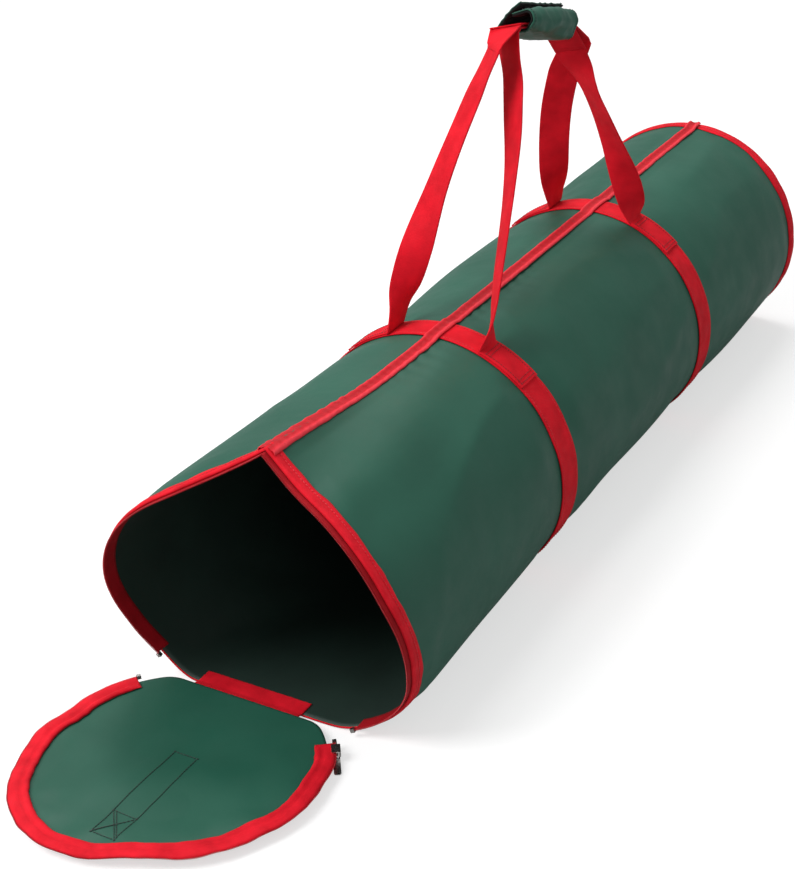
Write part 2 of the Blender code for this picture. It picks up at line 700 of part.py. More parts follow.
def rounded_path(points, radius, steps):
    """Straight runs joined by arcs of one radius, as 2D points."""
    path = [points[0]]
    for before, corner, after in zip(points, points[1:], points[2:]):
        into = (corner - before).normalized()
        away = (after - corner).normalized()
        turn = into.angle(away)
        toward = (away - into).normalized()
        centre = corner + toward * radius / math.cos(turn / 2)
        start = corner - into * radius * math.tan(turn / 2) - centre
        for index in range(steps + 1):
            angle = turn * index / steps
            path.append(centre + start * math.cos(angle) + into * radius * math.sin(angle))
    path.append(points[-1])
    return path


def offset_path(path, distance):
    """A 2D path moved to its left by a distance."""
    moved = []
    for index, point in enumerate(path):
        before = path[max(index - 1, 0)]
        after = path[min(index + 1, len(path) - 1)]
        along = (after - before).normalized()
        moved.append(point + Vector((-along.y, along.x)) * distance)
    return moved


def fold_point(sign, y):
    """Where a handle folds up from its sewn end."""
    return tube_point(sign * FOLD_ANGLE / math.pi, y, FOLD_OFFSET)


def fill_run(start, end, steps):
    return [start.lerp(end, index / steps) for index in range(1, steps)]


def hand_place(along, rise):
    """A point (y, z) by its place along the hand's run of the straps and its rise above it."""
    cosine, sine = math.cos(HAND_SLOPE), math.sin(HAND_SLOPE)
    return Vector((HAND_Y + along * cosine - rise * sine, HAND_HEIGHT + along * sine + rise * cosine))


def strap_path(sign):
    """Middle line (y, z) of one strap: up, level through the grip, over its kink and down."""
    fold = fold_point(sign, 0.0)
    kink_rear = RIGHT_KINK_REAR if sign > 0 else LEFT_KINK_REAR
    corners = [Vector((0.0, fold.z)), hand_place(RISE_FRONT, GRIP_RISE),
               hand_place(RISE_REAR, GRIP_RISE), hand_place(*kink_rear), Vector((REAR_BAND_Y, fold.z))]
    if sign < 0:
        corners.insert(1, hand_place(*LEFT_KINK_FRONT))
    bend = RIGHT_BEND if sign > 0 else LEFT_BEND
    path = offset_path(rounded_path(corners, bend, BEND_STEPS), -sign * STRAP_SPACING / 2)
    path[0].y = fold.z
    path[-1].y = fold.z
    return path


def handle(name, sign, front_twist, rear_twist, material):
    """One strap: up from the front fold, through the grip and down to the rear fold."""
    path = strap_path(sign)
    stations = [(0.0, path[0], "front")]
    for index, point in enumerate(fill_run(path[0], path[1], STRAND_STEPS)):
        stations.append(((index + 1) / STRAND_STEPS, point, "front"))
    for point in path[1:-1]:
        stations.append((1.0, point, "grip"))
    for index, point in enumerate(fill_run(path[-2], path[-1], STRAND_STEPS)):
        stations.append((1.0 - (index + 1) / STRAND_STEPS, point, "rear"))
    stations.append((0.0, path[-1], "rear"))
    fold = fold_point(sign, 0.0)
    grip_angle = front_twist[-1][1]
    rows = []
    for index, (share, point, run) in enumerate(stations):
        angle = grip_angle
        if run == "front":
            angle = spline_value(front_twist, share)
        if run == "rear":
            angle = spline_value(rear_twist, share)
        before = stations[max(index - 1, 0)][1]
        after = stations[min(index + 1, len(stations) - 1)][1]
        way = (after - before).normalized()
        tilt = STRAP_TILT * smooth_step(share / TILT_SPAN + 1.0 - 1.0 / TILT_SPAN)
        turn = math.radians(angle)
        level = Vector((math.cos(turn), math.sin(turn), 0.0)) * math.cos(tilt)
        lift = Vector((0.0, -way.y, way.x)) * math.sin(tilt) * math.copysign(1.0, level.x)
        lean = sign * abs(fold.x) * (1.0 - share ** STRAND_BOW)
        middle = Vector((lean, point.x, point.y))
        reach = (level + lift) * (HANDLE_WIDTH / 2)
        rows.append([middle - reach, middle, middle + reach])
    sheet(name, rows, WEBBING_THICKNESS, material, middle=True)


# Share of a strand, next to the grip, over which a strap takes its tilt.
TILT_SPAN = 0.15


def grip_place(across, along, rise):
    """A point in the grip: across, along the straps and up from their middle."""
    spot = hand_place(along, GRIP_RISE + rise)
    return Vector((across, spot.x, spot.y))


def wrap_sheet(name, section, span, thickness, material):
    """A shell along the grip; section gives its outer face at a place along the straps."""
    rows = []
    for along in turns_between(span[0], span[1], WRAP_ROWS):
        rows.append([grip_place(point.x, along, point.y) for point in section(along)])
    return sheet(name, rows, thickness, material)


WRAP_ROWS = 4
WRAP_STEPS = 4
STRAPS_HALF = STRAP_SPACING / 2 + WEBBING_THICKNESS / 2
WRAP_DROP = STRAPS_HALF + 2 * LAYER_GAP + LINING_THICKNESS + WRAP_THICKNESS
WRAP_SPAN = (WRAP_FRONT, WRAP_REAR)
FLAP_SPAN = (FLAP_FRONT, FLAP_REAR)


def base_point(across, sag):
    """A point of the wrap's underside, along the tilted straps and below them."""
    return Vector((across, across * math.tan(STRAP_TILT) - WRAP_DROP / math.cos(STRAP_TILT) - sag))


def near_section(along, setback=0.0):
    """Outer face of the right handle's half: under the straps, up and over to its free edge."""
    sag = WRAP_SAG * smooth_step((along - WRAP_FRONT) / (WRAP_REAR - WRAP_FRONT))
    points = [base_point(setback - HANDLE_WIDTH / 2, sag / 2), base_point(WRAP_BASE, sag),
              Vector(WRAP_SIDE), Vector(WRAP_SHOULDER), Vector(WRAP_END)]
    return rounded_path(points, WRAP_BEND, WRAP_STEPS)


def far_section(setback=0.0):
    """Outer face of the left handle's half: from its tip down to its root on the strap."""
    root = Vector(FLAP_ROOT)
    root = root + (Vector(FLAP_MIDDLE) - root).normalized() * setback
    return rounded_path([Vector(FLAP_TIP), Vector(FLAP_MIDDLE), root], FLAP_BEND, WRAP_STEPS)


def strip_face(start, toward, distance):
    """Outer face of a fastening strip, along a section's end and a distance from its face."""
    way = (toward - start).normalized()
    side = Vector((-way.y, way.x)) * distance
    return [start + way * STRIP_MARGIN + side, start + way * (STRIP_MARGIN + STRIP_WIDTH) + side]


def strip_span(span):
    return (span[0] + STRIP_WIDTH, span[1] - STRIP_WIDTH)


def grip_wrap(materials):
    inside = WRAP_THICKNESS + LAYER_GAP
    wrap_sheet("grip_wrap", near_section, WRAP_SPAN, WRAP_THICKNESS, materials["green_coated"])
    wrap_sheet("grip_lining", lambda along: offset_path(near_section(along, LINING_SETBACK), inside),
               WRAP_SPAN, LINING_THICKNESS, materials["black_lining"])
    strip = strip_face(Vector(WRAP_END), Vector(WRAP_SHOULDER), LAYER_GAP + STRIP_THICKNESS)
    wrap_sheet("grip_loop_strip", lambda along: strip[::-1], strip_span(WRAP_SPAN), STRIP_THICKNESS,
               materials["black_lining"])


def grip_flap(materials):
    inside = WRAP_THICKNESS + LAYER_GAP
    wrap_sheet("grip_flap", lambda along: far_section(), FLAP_SPAN, WRAP_THICKNESS,
               materials["green_coated"])
    lining = offset_path(far_section(LINING_SETBACK), inside)
    wrap_sheet("grip_flap_lining", lambda along: lining, FLAP_SPAN, LINING_THICKNESS,
               materials["black_lining"])
    depth = inside + LINING_THICKNESS + LAYER_GAP
    strip = strip_face(Vector(FLAP_TIP), Vector(FLAP_MIDDLE), depth)
    wrap_sheet("grip_hook_strip", lambda along: strip, strip_span(FLAP_SPAN), STRIP_THICKNESS,
               materials["black_lining"])


def main():
    clear_scene()
    for name in ("gift_wrap_organizer", "shaping"):
        bpy.context.scene.collection.children.link(bpy.data.collections.new(name))
    materials = make_materials()
    main_panel(materials)
    rear_panel(materials)
    rear_binding(materials)
    mouth_binding(materials)
    mouth_zip(materials)
    top_seam_tape(materials)
    bands(materials)
    strap_ends(materials)
    flap_layers(materials)
    flap_coil(materials)
    hinge_tapes(materials)
    flap_pull_strap(materials)
    zip_slider(materials)
    zip_pull_tab(materials)
    handle("left_handle_webbing", -1.0, LEFT_FRONT_TWIST, LEFT_REAR_TWIST, materials["red_webbing"])
    handle("right_handle_webbing", 1.0, RIGHT_FRONT_TWIST, RIGHT_REAR_TWIST, materials["red_webbing"])
    grip_wrap(materials)
    grip_flap(materials)


main()
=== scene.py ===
"""Gift wrap organizer, dressed: coated cloth, webbing, tapes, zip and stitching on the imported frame."""
import math

import bmesh
import bpy
from mathutils import Matrix, Vector, noise


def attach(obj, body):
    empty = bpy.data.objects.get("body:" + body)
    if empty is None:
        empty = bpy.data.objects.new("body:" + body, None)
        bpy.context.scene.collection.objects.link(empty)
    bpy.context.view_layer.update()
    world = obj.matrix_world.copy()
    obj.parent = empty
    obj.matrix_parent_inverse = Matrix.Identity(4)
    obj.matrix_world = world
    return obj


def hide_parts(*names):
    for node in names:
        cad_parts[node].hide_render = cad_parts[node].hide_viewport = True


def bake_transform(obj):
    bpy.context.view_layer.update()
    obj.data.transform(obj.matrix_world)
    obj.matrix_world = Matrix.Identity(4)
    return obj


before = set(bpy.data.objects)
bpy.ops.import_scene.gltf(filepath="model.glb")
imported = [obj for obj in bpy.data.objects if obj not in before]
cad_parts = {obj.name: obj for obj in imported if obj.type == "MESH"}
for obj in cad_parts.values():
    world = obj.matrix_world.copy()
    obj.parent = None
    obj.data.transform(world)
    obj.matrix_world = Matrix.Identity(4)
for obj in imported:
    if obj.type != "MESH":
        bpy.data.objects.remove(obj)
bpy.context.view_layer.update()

# Tube of the bag
BAG_RADIUS = 0.1377
CENTRE_HEIGHT = 0.1033
BASE_HALF_WIDTH = 0.0440
BASE_Z = 0.0018
MOUTH_Y = -0.330
REAR_Y = 0.690
REAR_BAND_Y = 0.372
PANEL_EDGE_Y = -0.3085
MOUTH_LEFT_HALF_WIDTH = 0.1485
MOUTH_RIGHT_HALF_WIDTH = 0.1385
MOUTH_PEAK_HEIGHT = 0.0220
MOUTH_PEAK_HALF_WIDTH = 0.0550
MOUTH_BASE_LEFT = 0.0910
MOUTH_BASE_RIGHT = 0.0550
MOUTH_BLEND_LENGTH = 0.2270
REAR_BULGE = 0.0120
TURN_STEP = 0.002
ARC_SHARE = 0.50
CORNER_SHARE = 0.84
# The rim: turns round the tube, and how far it lies behind the mouth, in radii
RIM_SHARES = (
    (-1.00, None), (-0.84, None), (-0.70, 0.150), (-0.60, 0.050), (-0.50, -0.085),
    (-0.41, -0.165), (-0.30, -0.215), (-0.21, -0.210), (-0.15, -0.150), (-0.095, 0.030),
    (-0.05, 0.130), (0.00, 0.150), (0.09, 0.080), (0.22, -0.005), (0.345, -0.025),
    (0.445, 0.035), (0.53, 0.100), (0.62, 0.190), (0.72, 0.215), (0.84, None), (1.00, None),
)

# Cloth, tapes and webbing
PANEL_THICKNESS = 0.0012
LAYER_GAP = 0.0003
BINDING_THICKNESS = 0.0008
TAPE_WIDTH = 0.0200
TAPE_SEWN_WIDTH = 0.0150
BINDING_WIDTH = 0.0140
REAR_BINDING_WIDTH = 0.0110
WEBBING_WIDTH = 0.0350
WEBBING_THICKNESS = 0.0015
BAND_TOP = 0.0018
STRAP_END_TOP = 0.0036
FOLD_OFFSET = 0.00465
ZIP_TAPE_THICKNESS = 0.0008
ZIP_TAPE_REACH = 0.0053
ZIP_TAPE_OVERLAP = 0.0090
COIL_LEAD = 0.0023
COIL_PITCH, COIL_LOOP, COIL_WIRE = 0.00130, 0.0025, 0.00058
COIL_SLANT = 1.6
ZIP_START, ZIP_END = -0.69, 0.78

# Flap
FLAP_X, FLAP_Y = -0.033, -0.419
HINGE_Y = -0.3135
HINGE_HALF_LENGTH = 0.0550
HINGE_TAPE_WIDTH = 0.0200
FLAP_SKIN_Z = 0.0049
FLAP_PANEL_Z = 0.0060
FLAP_TAPE_Z = 0.0075
COIL_Z = 0.0079
COIL_PATH_RADIUS = 0.1328
TAPE_EDGE_RADIUS = 0.1313
FLAP_EDGE_RADIUS = 0.1260
FLAP_CORNER_RADIUS = 0.0275
PANEL_CHORD = 0.1005
ZIP_HALF_SPAN = math.radians(128.0)
PULL_STRAP_HALF = 0.0150
PULL_STRAP_LENGTH = 0.1240
PULL_STRAP_FRONT = 0.1080
SLIDER_SPOT = (0.0771, -0.3447)

# Handles and grip
HANDLE_WIDTH = 0.0330
FOLD_ANGLE = math.radians(20.0)
STRAP_END_ANGLE = math.radians(42.0)
HAND_Y = 0.2110
HAND_HEIGHT = 0.4660
HAND_SLOPE = math.radians(-13.7)
LEFT_KINK_FRONT = (-0.1020, 0.0000)
RISE_FRONT = -0.0785
RISE_REAR = 0.0470
LEFT_KINK_REAR = (0.0920, 0.0030)
RIGHT_KINK_REAR = (0.0850, -0.0035)
GRIP_RISE = 0.0180
LEFT_BEND = 0.0140
RIGHT_BEND = 0.0050
STRAP_SPACING = 0.0030
STRAP_TILT = math.radians(14.5)
STRAND_BOW = 1.60
STRAND_STEPS = 14
TILT_SPAN = 0.15
# Turns of each strand: share of its rise from the fold to the hand, and degrees
LEFT_FRONT_TWIST = (
    (0.0, 90.0), (0.06, 86.0), (0.16, 46.0), (0.26, 20.0), (0.36, -6.0), (0.50, -28.0),
    (0.64, -36.0), (0.80, -40.0), (0.93, -43.0), (1.0, -40.0),
)
LEFT_REAR_TWIST = (
    (0.0, 90.0), (0.07, 78.0), (0.15, 58.0), (0.26, 36.0), (0.40, 26.0), (0.80, 22.0),
    (0.93, 12.0), (1.0, 0.0),
)
RIGHT_FRONT_TWIST = (
    (0.0, 90.0), (0.06, 112.0), (0.14, 122.0), (0.29, 126.0), (0.43, 128.0), (0.57, 136.0),
    (0.71, 145.0), (0.86, 150.0), (0.94, 157.0), (1.0, 170.0),
)
RIGHT_REAR_TWIST = (
    (0.0, 270.0), (0.07, 243.0), (0.14, 222.0), (0.21, 205.0), (0.29, 190.0), (0.36, 178.0),
    (0.43, 167.0), (0.57, 154.0), (0.71, 147.0), (0.82, 152.0), (0.92, 174.0), (1.0, 180.0),
)
HAND_TWIST_REACH = 0.026
HANDLE_SWAY = {("right", "front"): 0.0060, ("left", "rear"): -0.0050}
WRAP_FRONT, WRAP_REAR = -0.0725, 0.0360
WRAP_THICKNESS = 0.0010
LINING_THICKNESS = 0.0015
WRAP_BASE = 0.0200
WRAP_SIDE = (0.0247, 0.0095)
WRAP_SHOULDER = (0.0192, 0.0205)
WRAP_END = (0.0010, 0.0130)
WRAP_BEND = 0.0065
WRAP_SAG = 0.0085
LINING_SETBACK = 0.0040
FLAP_FRONT, FLAP_REAR = -0.0610, 0.0410
FLAP_TIP = (0.0030, 0.0240)
FLAP_MIDDLE = (-0.0085, 0.0142)
FLAP_ROOT = (-0.0184, -0.0024)
FLAP_BEND = 0.0300
WRAP_DROP = 0.00535
STRIP_THICKNESS = 0.0008
STRIP_WIDTH = 0.0100
STRIP_MARGIN = 0.0015
HEM_RISE = 0.0004
HEM_ROW = 0.0032

# Camera: the photograph's own viewpoint
CAMERA_PLACE = (0.716, -1.364, 0.9515)
CAMERA_AZIMUTH = math.radians(29.32)
CAMERA_TILT = math.radians(28.04)
CAMERA_ROLL = math.radians(-1.17)
CAMERA_LENS = 73.16


# Shape of the tube

def smooth_step(share):
    share = min(max(share, 0.0), 1.0)
    return share * share * (3.0 - 2.0 * share)


def evenly(start, end, steps):
    return [start + (end - start) * index / steps for index in range(steps + 1)]


def cubic(start, end, slope_in, slope_out, share):
    """Value between two keys, for numbers and vectors alike."""
    square = share * share
    cube = square * share
    return (start * (2 * cube - 3 * square + 1) + end * (3 * square - 2 * cube)
            + slope_in * (cube - 2 * square + share) + slope_out * (cube - square))


def spline_value(keys, place):
    """Catmull-Rom value at a place along (place, value) keys."""
    last = len(keys) - 1
    index = 0
    while index < last - 1 and place > keys[index + 1][0]:
        index += 1
    start, end = keys[index], keys[index + 1]
    before = keys[max(index - 1, 0)]
    after = keys[min(index + 2, last)]
    span = end[0] - start[0]
    share = min(max((place - start[0]) / span, 0.0), 1.0)
    slope_in = (end[1] - before[1]) / (end[0] - before[0]) * span
    slope_out = (after[1] - start[1]) / (after[0] - start[0]) * span
    return cubic(start[1], end[1], slope_in, slope_out, share)


RIM_KEYS = [(turn, PANEL_EDGE_Y if share is None else MOUTH_Y + share * BAG_RADIUS)
            for turn, share in RIM_SHARES]


def wrap_turn(turn):
    return turn - 2.0 if turn > 1.0 else turn


def rim_y(turn):
    return spline_value(RIM_KEYS, wrap_turn(turn))


def section_point(turn, mouth):
    """Outer face of the tube at a turn; mouth runs from 0, round, to 1, drawn out."""
    turn = wrap_turn(turn)
    mouth_half = MOUTH_RIGHT_HALF_WIDTH if turn > 0 else MOUTH_LEFT_HALF_WIDTH
    mouth_base = MOUTH_BASE_RIGHT if turn > 0 else MOUTH_BASE_LEFT
    half = BAG_RADIUS + (mouth_half - BAG_RADIUS) * mouth
    base = BASE_HALF_WIDTH + (mouth_base - BASE_HALF_WIDTH) * mouth
    side = math.copysign(1.0, turn)
    reach = abs(turn)
    if reach <= ARC_SHARE:
        angle = math.pi * reach
        across = half * math.sin(angle)
        peak = max(1.0 - across / MOUTH_PEAK_HALF_WIDTH, 0.0) ** 2
        height = CENTRE_HEIGHT + BAG_RADIUS * math.cos(angle)
        return Vector((side * across, height + mouth * MOUTH_PEAK_HEIGHT * peak))
    if reach <= CORNER_SHARE:
        angle = math.pi / 2 * (reach - ARC_SHARE) / (CORNER_SHARE - ARC_SHARE)
        across = base + (half - base) * math.cos(angle)
        return Vector((side * across, CENTRE_HEIGHT * (1.0 - math.sin(angle))))
    return Vector((side * base * (1.0 - reach) / (1.0 - CORNER_SHARE), 0.0))


def tube_point(turn, y, offset):
    """A point of the tube: turn round it, place along it, and distance outside its face."""
    mouth = smooth_step((MOUTH_Y + MOUTH_BLEND_LENGTH - y) / MOUTH_BLEND_LENGTH)
    here = section_point(turn, mouth)
    if 1.0 - abs(wrap_turn(turn)) < TURN_STEP:
        normal = Vector((0.0, -1.0))
    else:
        along = section_point(turn + TURN_STEP, mouth) - section_point(turn - TURN_STEP, mouth)
        normal = Vector((-along.y, along.x)).normalized()
    spot = here + normal * offset
    return Vector((spot.x, y, BASE_Z + spot.y))


# How the cloth puffs, creases and puckers on the tube

PUFF = 0.0030
CREASE = 0.0026
PUCKER = 0.0008
PUCKER_LENGTH = 0.019
TAPE_DIP = 0.0012


def soft_noise(x, y, z):
    return noise.noise(Vector((x, y, z)))


def bay_share(y):
    """Place between the two seams or bands that hold the cloth here, and the gap to the nearer."""
    half = WEBBING_WIDTH / 2
    for low, high in ((MOUTH_Y - 0.03, -half), (half, REAR_BAND_Y - half),
                      (REAR_BAND_Y + half, REAR_Y - REAR_BINDING_WIDTH)):
        if low <= y <= high:
            return (y - low) / (high - low), min(y - low, high - y)
    return 0.0, 0.0


def relief(turn, y):
    """How far the cloth stands out of the plain tube here."""
    turn = wrap_turn(turn)
    share, gap = bay_share(y)
    arc = abs(turn) * math.pi * BAG_RADIUS
    seam_gap = max(arc - TAPE_WIDTH / 2, 0.0)
    rim_gap = max(y - rim_y(turn), 0.0)
    lower = 1.0 - smooth_step((abs(turn) - 0.66) / 0.16)
    free = smooth_step(gap / 0.030) * smooth_step(rim_gap / 0.035)
    drift = soft_noise(turn * 4.1, y * 5.0, 3.7) * 0.7
    ridge = soft_noise(turn * 5.0 + drift + y * 3.0, y * 2.4 - turn * 1.6, 7.1)
    crease = CREASE * (0.55 - abs(ridge) * 2.6) * smooth_step(seam_gap / 0.03) * free
    broad = CREASE * 0.9 * soft_noise(turn * 3.0, y * 7.0, 1.3) * free
    gather = max(soft_noise(y * 11.0, math.copysign(4.0, turn), 6.5) + 0.15, 0.0)
    seam_pucker = 1.6 * PUCKER * gather * math.exp(-seam_gap / 0.016) * math.sin(
        y / PUCKER_LENGTH * 2.0 * math.pi + 7.0 * soft_noise(y * 7.0, turn, 5.0)) * free
    puff = band_pucker = 0.0
    if share > 0:
        puff = PUFF * math.sin(math.pi * share) ** 0.6 * smooth_step(seam_gap / 0.05) * free
        band_pucker = PUCKER * math.exp(-gap / 0.022) * smooth_step(gap / 0.006) * math.sin(
            turn * 34.0 + 8.0 * soft_noise(turn * 4.0, y * 4.0, 9.0)) * smooth_step(rim_gap / 0.04)
        band_pucker *= 0.5 + soft_noise(turn * 7.0, y * 2.0, 4.0)
    dip = -TAPE_DIP * math.exp(-(seam_gap / 0.012) ** 2) * free * smooth_step(seam_gap / 0.003)
    return (puff + crease + broad + seam_pucker + band_pucker + dip) * lower


# Mesh makers

def finish_object(name, data):
    obj = bpy.data.objects.new(name, data)
    bpy.context.scene.collection.objects.link(obj)
    return obj


def run_lengths(points):
    """Lengths along a row of points, from its first."""
    lengths = [0.0]
    for before, after in zip(points, points[1:]):
        lengths.append(lengths[-1] + (after - before).length)
    return lengths


def measured_uv(rows):
    """UVs in metres for a grid: across the rows, and along each row."""
    middle = len(rows[0]) // 2
    across = run_lengths([row[middle] for row in rows])
    return [[(across[index], length) for length in run_lengths(row)] for index, row in enumerate(rows)]


def add_wall(obj, thickness, offset=-1.0):
    step = obj.modifiers.new("Wall", 'SOLIDIFY')
    step.thickness = thickness
    step.offset = offset
    step.use_even_offset = False
    return step


def grid_piece(name, rows, material, uv_rows=None, closed=False, wall=0.0, offset=-1.0, inner=None):
    """Cloth from a grid of points, outer face first, with UVs in metres and a wall on its inner side."""
    mesh = bpy.data.meshes.new(name)
    builder = bmesh.new()
    grid = [[builder.verts.new(point) for point in row] for row in rows]
    uv_rows = uv_rows or measured_uv(rows)
    count = len(grid)
    layer = builder.loops.layers.uv.new("cloth")
    for index in range(count if closed else count - 1):
        following = (index + 1) % count
        for place in range(len(rows[0]) - 1):
            corners = ((index, place), (following, place), (following, place + 1), (index, place + 1))
            face = builder.faces.new([grid[row][spot] for row, spot in corners])
            face.smooth = True
            for loop, (row, spot) in zip(face.loops, corners):
                loop[layer].uv = uv_rows[row][spot]
    builder.to_mesh(mesh)
    builder.free()
    obj = finish_object(name, mesh)
    mesh.materials.append(material)
    if wall:
        step = add_wall(obj, wall, offset)
        if inner:
            mesh.materials.append(inner)
            mesh.materials.append(material)
            step.material_offset = 1
            step.material_offset_rim = 2
    return obj


def disc_piece(name, rows, uv_rows, centre, reach, facing):
    """Round green cloth: closed at its middle, outer face first, with its wall behind it."""
    obj = grid_piece(name, rows, GREEN, uv_rows, closed=True)
    builder = bmesh.new()
    builder.from_mesh(obj.data)
    inner = [edge for edge in builder.edges
             if edge.is_boundary and (edge.verts[0].co - centre).length < reach]
    for face in bmesh.ops.contextual_create(builder, geom=inner)["faces"]:
        face.smooth = True
    bmesh.ops.recalc_face_normals(builder, faces=builder.faces)
    builder.faces.ensure_lookup_table()
    if builder.faces[0].normal.dot(Vector(facing)) < 0:
        bmesh.ops.reverse_faces(builder, faces=builder.faces)
    builder.to_mesh(obj.data)
    builder.free()
    add_wall(obj, PANEL_THICKNESS)
    return obj


def dress(obj, body, slot, *nodes):
    """Applies a piece's modifiers, and says what carries it and the solids it stands for; the finish it is
    given is not used.
    """
    graph = bpy.context.evaluated_depsgraph_get()
    mesh = bpy.data.meshes.new_from_object(obj.evaluated_get(graph))
    obj.modifiers.clear()
    obj.data = mesh
    if body:
        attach(obj, body)
    if nodes:
        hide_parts(*nodes)


# Materials

def opaque(colour):
    return (*colour, 1.0)


class Finish:
    """A node material under way. A source is a pair of node and output."""

    def __init__(self, name, colour, roughness, looks=None):
        self.material = bpy.data.materials.new(name)
        self.material.use_nodes = True
        self.nodes = self.material.node_tree.nodes
        self.shader = self.nodes["Principled BSDF"]
        self.last_bump = None
        given = {"Base Color": opaque(colour), "Roughness": roughness, **(looks or {})}
        for label, value in given.items():
            self.shader.inputs[label].default_value = value

    def link(self, source, target, socket):
        self.material.node_tree.links.new(source[0].outputs[source[1]], target.inputs[socket])

    def node(self, kind, source=None, socket="Vector", values=None):
        """A new node with its values, fed from a source."""
        made = self.nodes.new(kind)
        for label, value in (values or {}).items():
            made.inputs[label].default_value = value
        if source:
            self.link(source, made, socket)
        return made

    def math(self, operation, *operands):
        """A Math node from sources or numbers."""
        made = self.nodes.new('ShaderNodeMath')
        made.operation = operation
        for index, operand in enumerate(operands):
            if isinstance(operand, tuple):
                self.link(operand, made, index)
            else:
                made.inputs[index].default_value = operand
        return made, 0

    def noise(self, scale, detail, stretch=None):
        source = (self.nodes.new('ShaderNodeTexCoord'), "Object")
        if stretch:
            source = (self.node('ShaderNodeMapping', source, values={"Scale": stretch}), "Vector")
        return self.node('ShaderNodeTexNoise', source, values={"Scale": scale, "Detail": detail}), "Fac"

    def cloth_place(self):
        """The place on the cloth in metres, across and along."""
        place = self.nodes.new('ShaderNodeUVMap')
        place.uv_map = "cloth"
        parts = self.node('ShaderNodeSeparateXYZ', (place, "UV"))
        return (parts, "X"), (parts, "Y")

    def weave(self, pitch_across, pitch_along, twill=0.0):
        """Height of a woven cloth: threads over and under, from UVs in metres."""
        x, y = self.cloth_place()
        along = self.math('MULTIPLY', y, 2.0 * math.pi / pitch_along)
        across = self.math('MULTIPLY', x, 2.0 * math.pi / pitch_across)
        across = self.math('ADD', across, self.math('MULTIPLY', along, twill))
        first = self.math('SINE', across)
        both = self.math('MULTIPLY', first, self.math('SINE', along))
        return self.math('ADD', self.math('MULTIPLY', both, 0.5), self.math('ABSOLUTE', first))

    def tint(self, source, *colours):
        """Colour from a value, through a ramp of (place, colour)."""
        ramp = self.node('ShaderNodeValToRGB', source, "Fac")
        elements = ramp.color_ramp.elements
        for index, (place, colour) in enumerate(colours):
            element = elements[index] if index < 2 else elements.new(place)
            element.position = place
            element.color = opaque(colour)
        self.link((ramp, "Color"), self.shader, "Base Color")

    def rough(self, source, low, high):
        values = {"From Min": 0.3, "From Max": 0.7, "To Min": low, "To Max": high}
        spread = self.node('ShaderNodeMapRange', source, "Value", values)
        self.link((spread, "Result"), self.shader, "Roughness")

    def bump(self, source, strength, distance):
        made = self.node('ShaderNodeBump', source, "Height", {"Strength": strength, "Distance": distance})
        if self.last_bump:
            self.link((self.last_bump, "Normal"), made, "Normal")
        self.last_bump = made
        self.link((made, "Normal"), self.shader, "Normal")


SHEEN, SHEEN_SPREAD, SHEEN_TINT, SHINE = (
    "Sheen Weight", "Sheen Roughness", "Sheen Tint", "Specular IOR Level")
RED_SHEEN = opaque((1.0, 0.25, 0.25))


def coated_cloth():
    """Dark green polyester with a satin coating: fine plain weave, soft creases and a low sheen."""
    finish = Finish("green_coated_cloth", (0.018, 0.078, 0.052), 0.50, {
        SHEEN: 0.03, SHEEN_SPREAD: 0.45, SHEEN_TINT: opaque((0.55, 0.85, 0.75)), SHINE: 0.30})
    finish.tint(finish.noise(9.0, 4.0), (0.30, (0.0130, 0.081, 0.052)), (0.72, (0.0178, 0.100, 0.065)))
    finish.rough(finish.noise(30.0, 3.0), 0.44, 0.58)
    finish.bump(finish.noise(26.0, 3.0, (1.0, 0.45, 1.0)), 0.30, 0.0022)
    finish.bump(finish.noise(120.0, 2.0), 0.16, 0.0006)
    finish.bump(finish.weave(0.00042, 0.00042), 0.10, 0.00006)
    return finish.material


def coated_inside():
    """The uncoated inner side of the same cloth, painted nearly black as the shade inside the tube."""
    finish = Finish("green_cloth_inside_painted_shade", (0.007, 0.022, 0.016), 0.66)
    finish.tint(finish.noise(14.0, 4.0), (0.25, (0.005, 0.017, 0.012)), (0.75, (0.009, 0.028, 0.020)))
    finish.bump(finish.noise(40.0, 3.0), 0.25, 0.0015)
    finish.bump(finish.weave(0.00042, 0.00042), 0.12, 0.00006)
    return finish.material


def ribbed(finish):
    """The ruffled, crosswise ribbed surface of a red tape."""
    finish.bump(finish.noise(85.0, 3.0), 0.35, 0.0014)
    finish.bump(finish.weave(0.0011, 0.0008), 0.45, 0.00016)
    return finish.material


def red_tape(name, deep, bright):
    """Red woven binding: crosswise ribs, small ruffles and slightly worn edges."""
    finish = Finish(name, bright, 0.62, {SHEEN: 0.05, SHEEN_TINT: RED_SHEEN, SHINE: 0.15})
    finish.tint(finish.noise(60.0, 5.0), (0.28, deep), (0.70, bright))
    finish.rough(finish.noise(90.0, 3.0), 0.60, 0.76)
    return ribbed(finish)


def red_seam_tape_painted_shade_highlight():
    """The top tape: the same weave, with painted shade in its sewn groove and painted highlights on its two
    folds.
    """
    finish = Finish("red_seam_tape_painted_shade_highlight", (0.60, 0.008, 0.020), 0.62, {SHINE: 0.25})
    offset = finish.math('SUBTRACT', finish.cloth_place()[0], TAPE_SEWN_WIDTH * 0.53)
    reach = finish.math('ABSOLUTE', offset)
    share = finish.math('MULTIPLY', reach, 1.9 / TAPE_SEWN_WIDTH)
    worn = finish.math('MULTIPLY', finish.noise(140.0, 4.0), 0.16)
    # The ramp paints shade at the middle of the groove and highlights on the two folds; the noise only
    # roughens their edges.
    finish.tint(finish.math('ADD', share, worn), (0.10, (0.42, 0.003, 0.010)), (0.45, (0.50, 0.004, 0.012)),
                (0.72, (0.72, 0.018, 0.034)), (0.98, (0.78, 0.040, 0.058)))
    finish.rough(finish.noise(90.0, 3.0), 0.52, 0.70)
    return ribbed(finish)


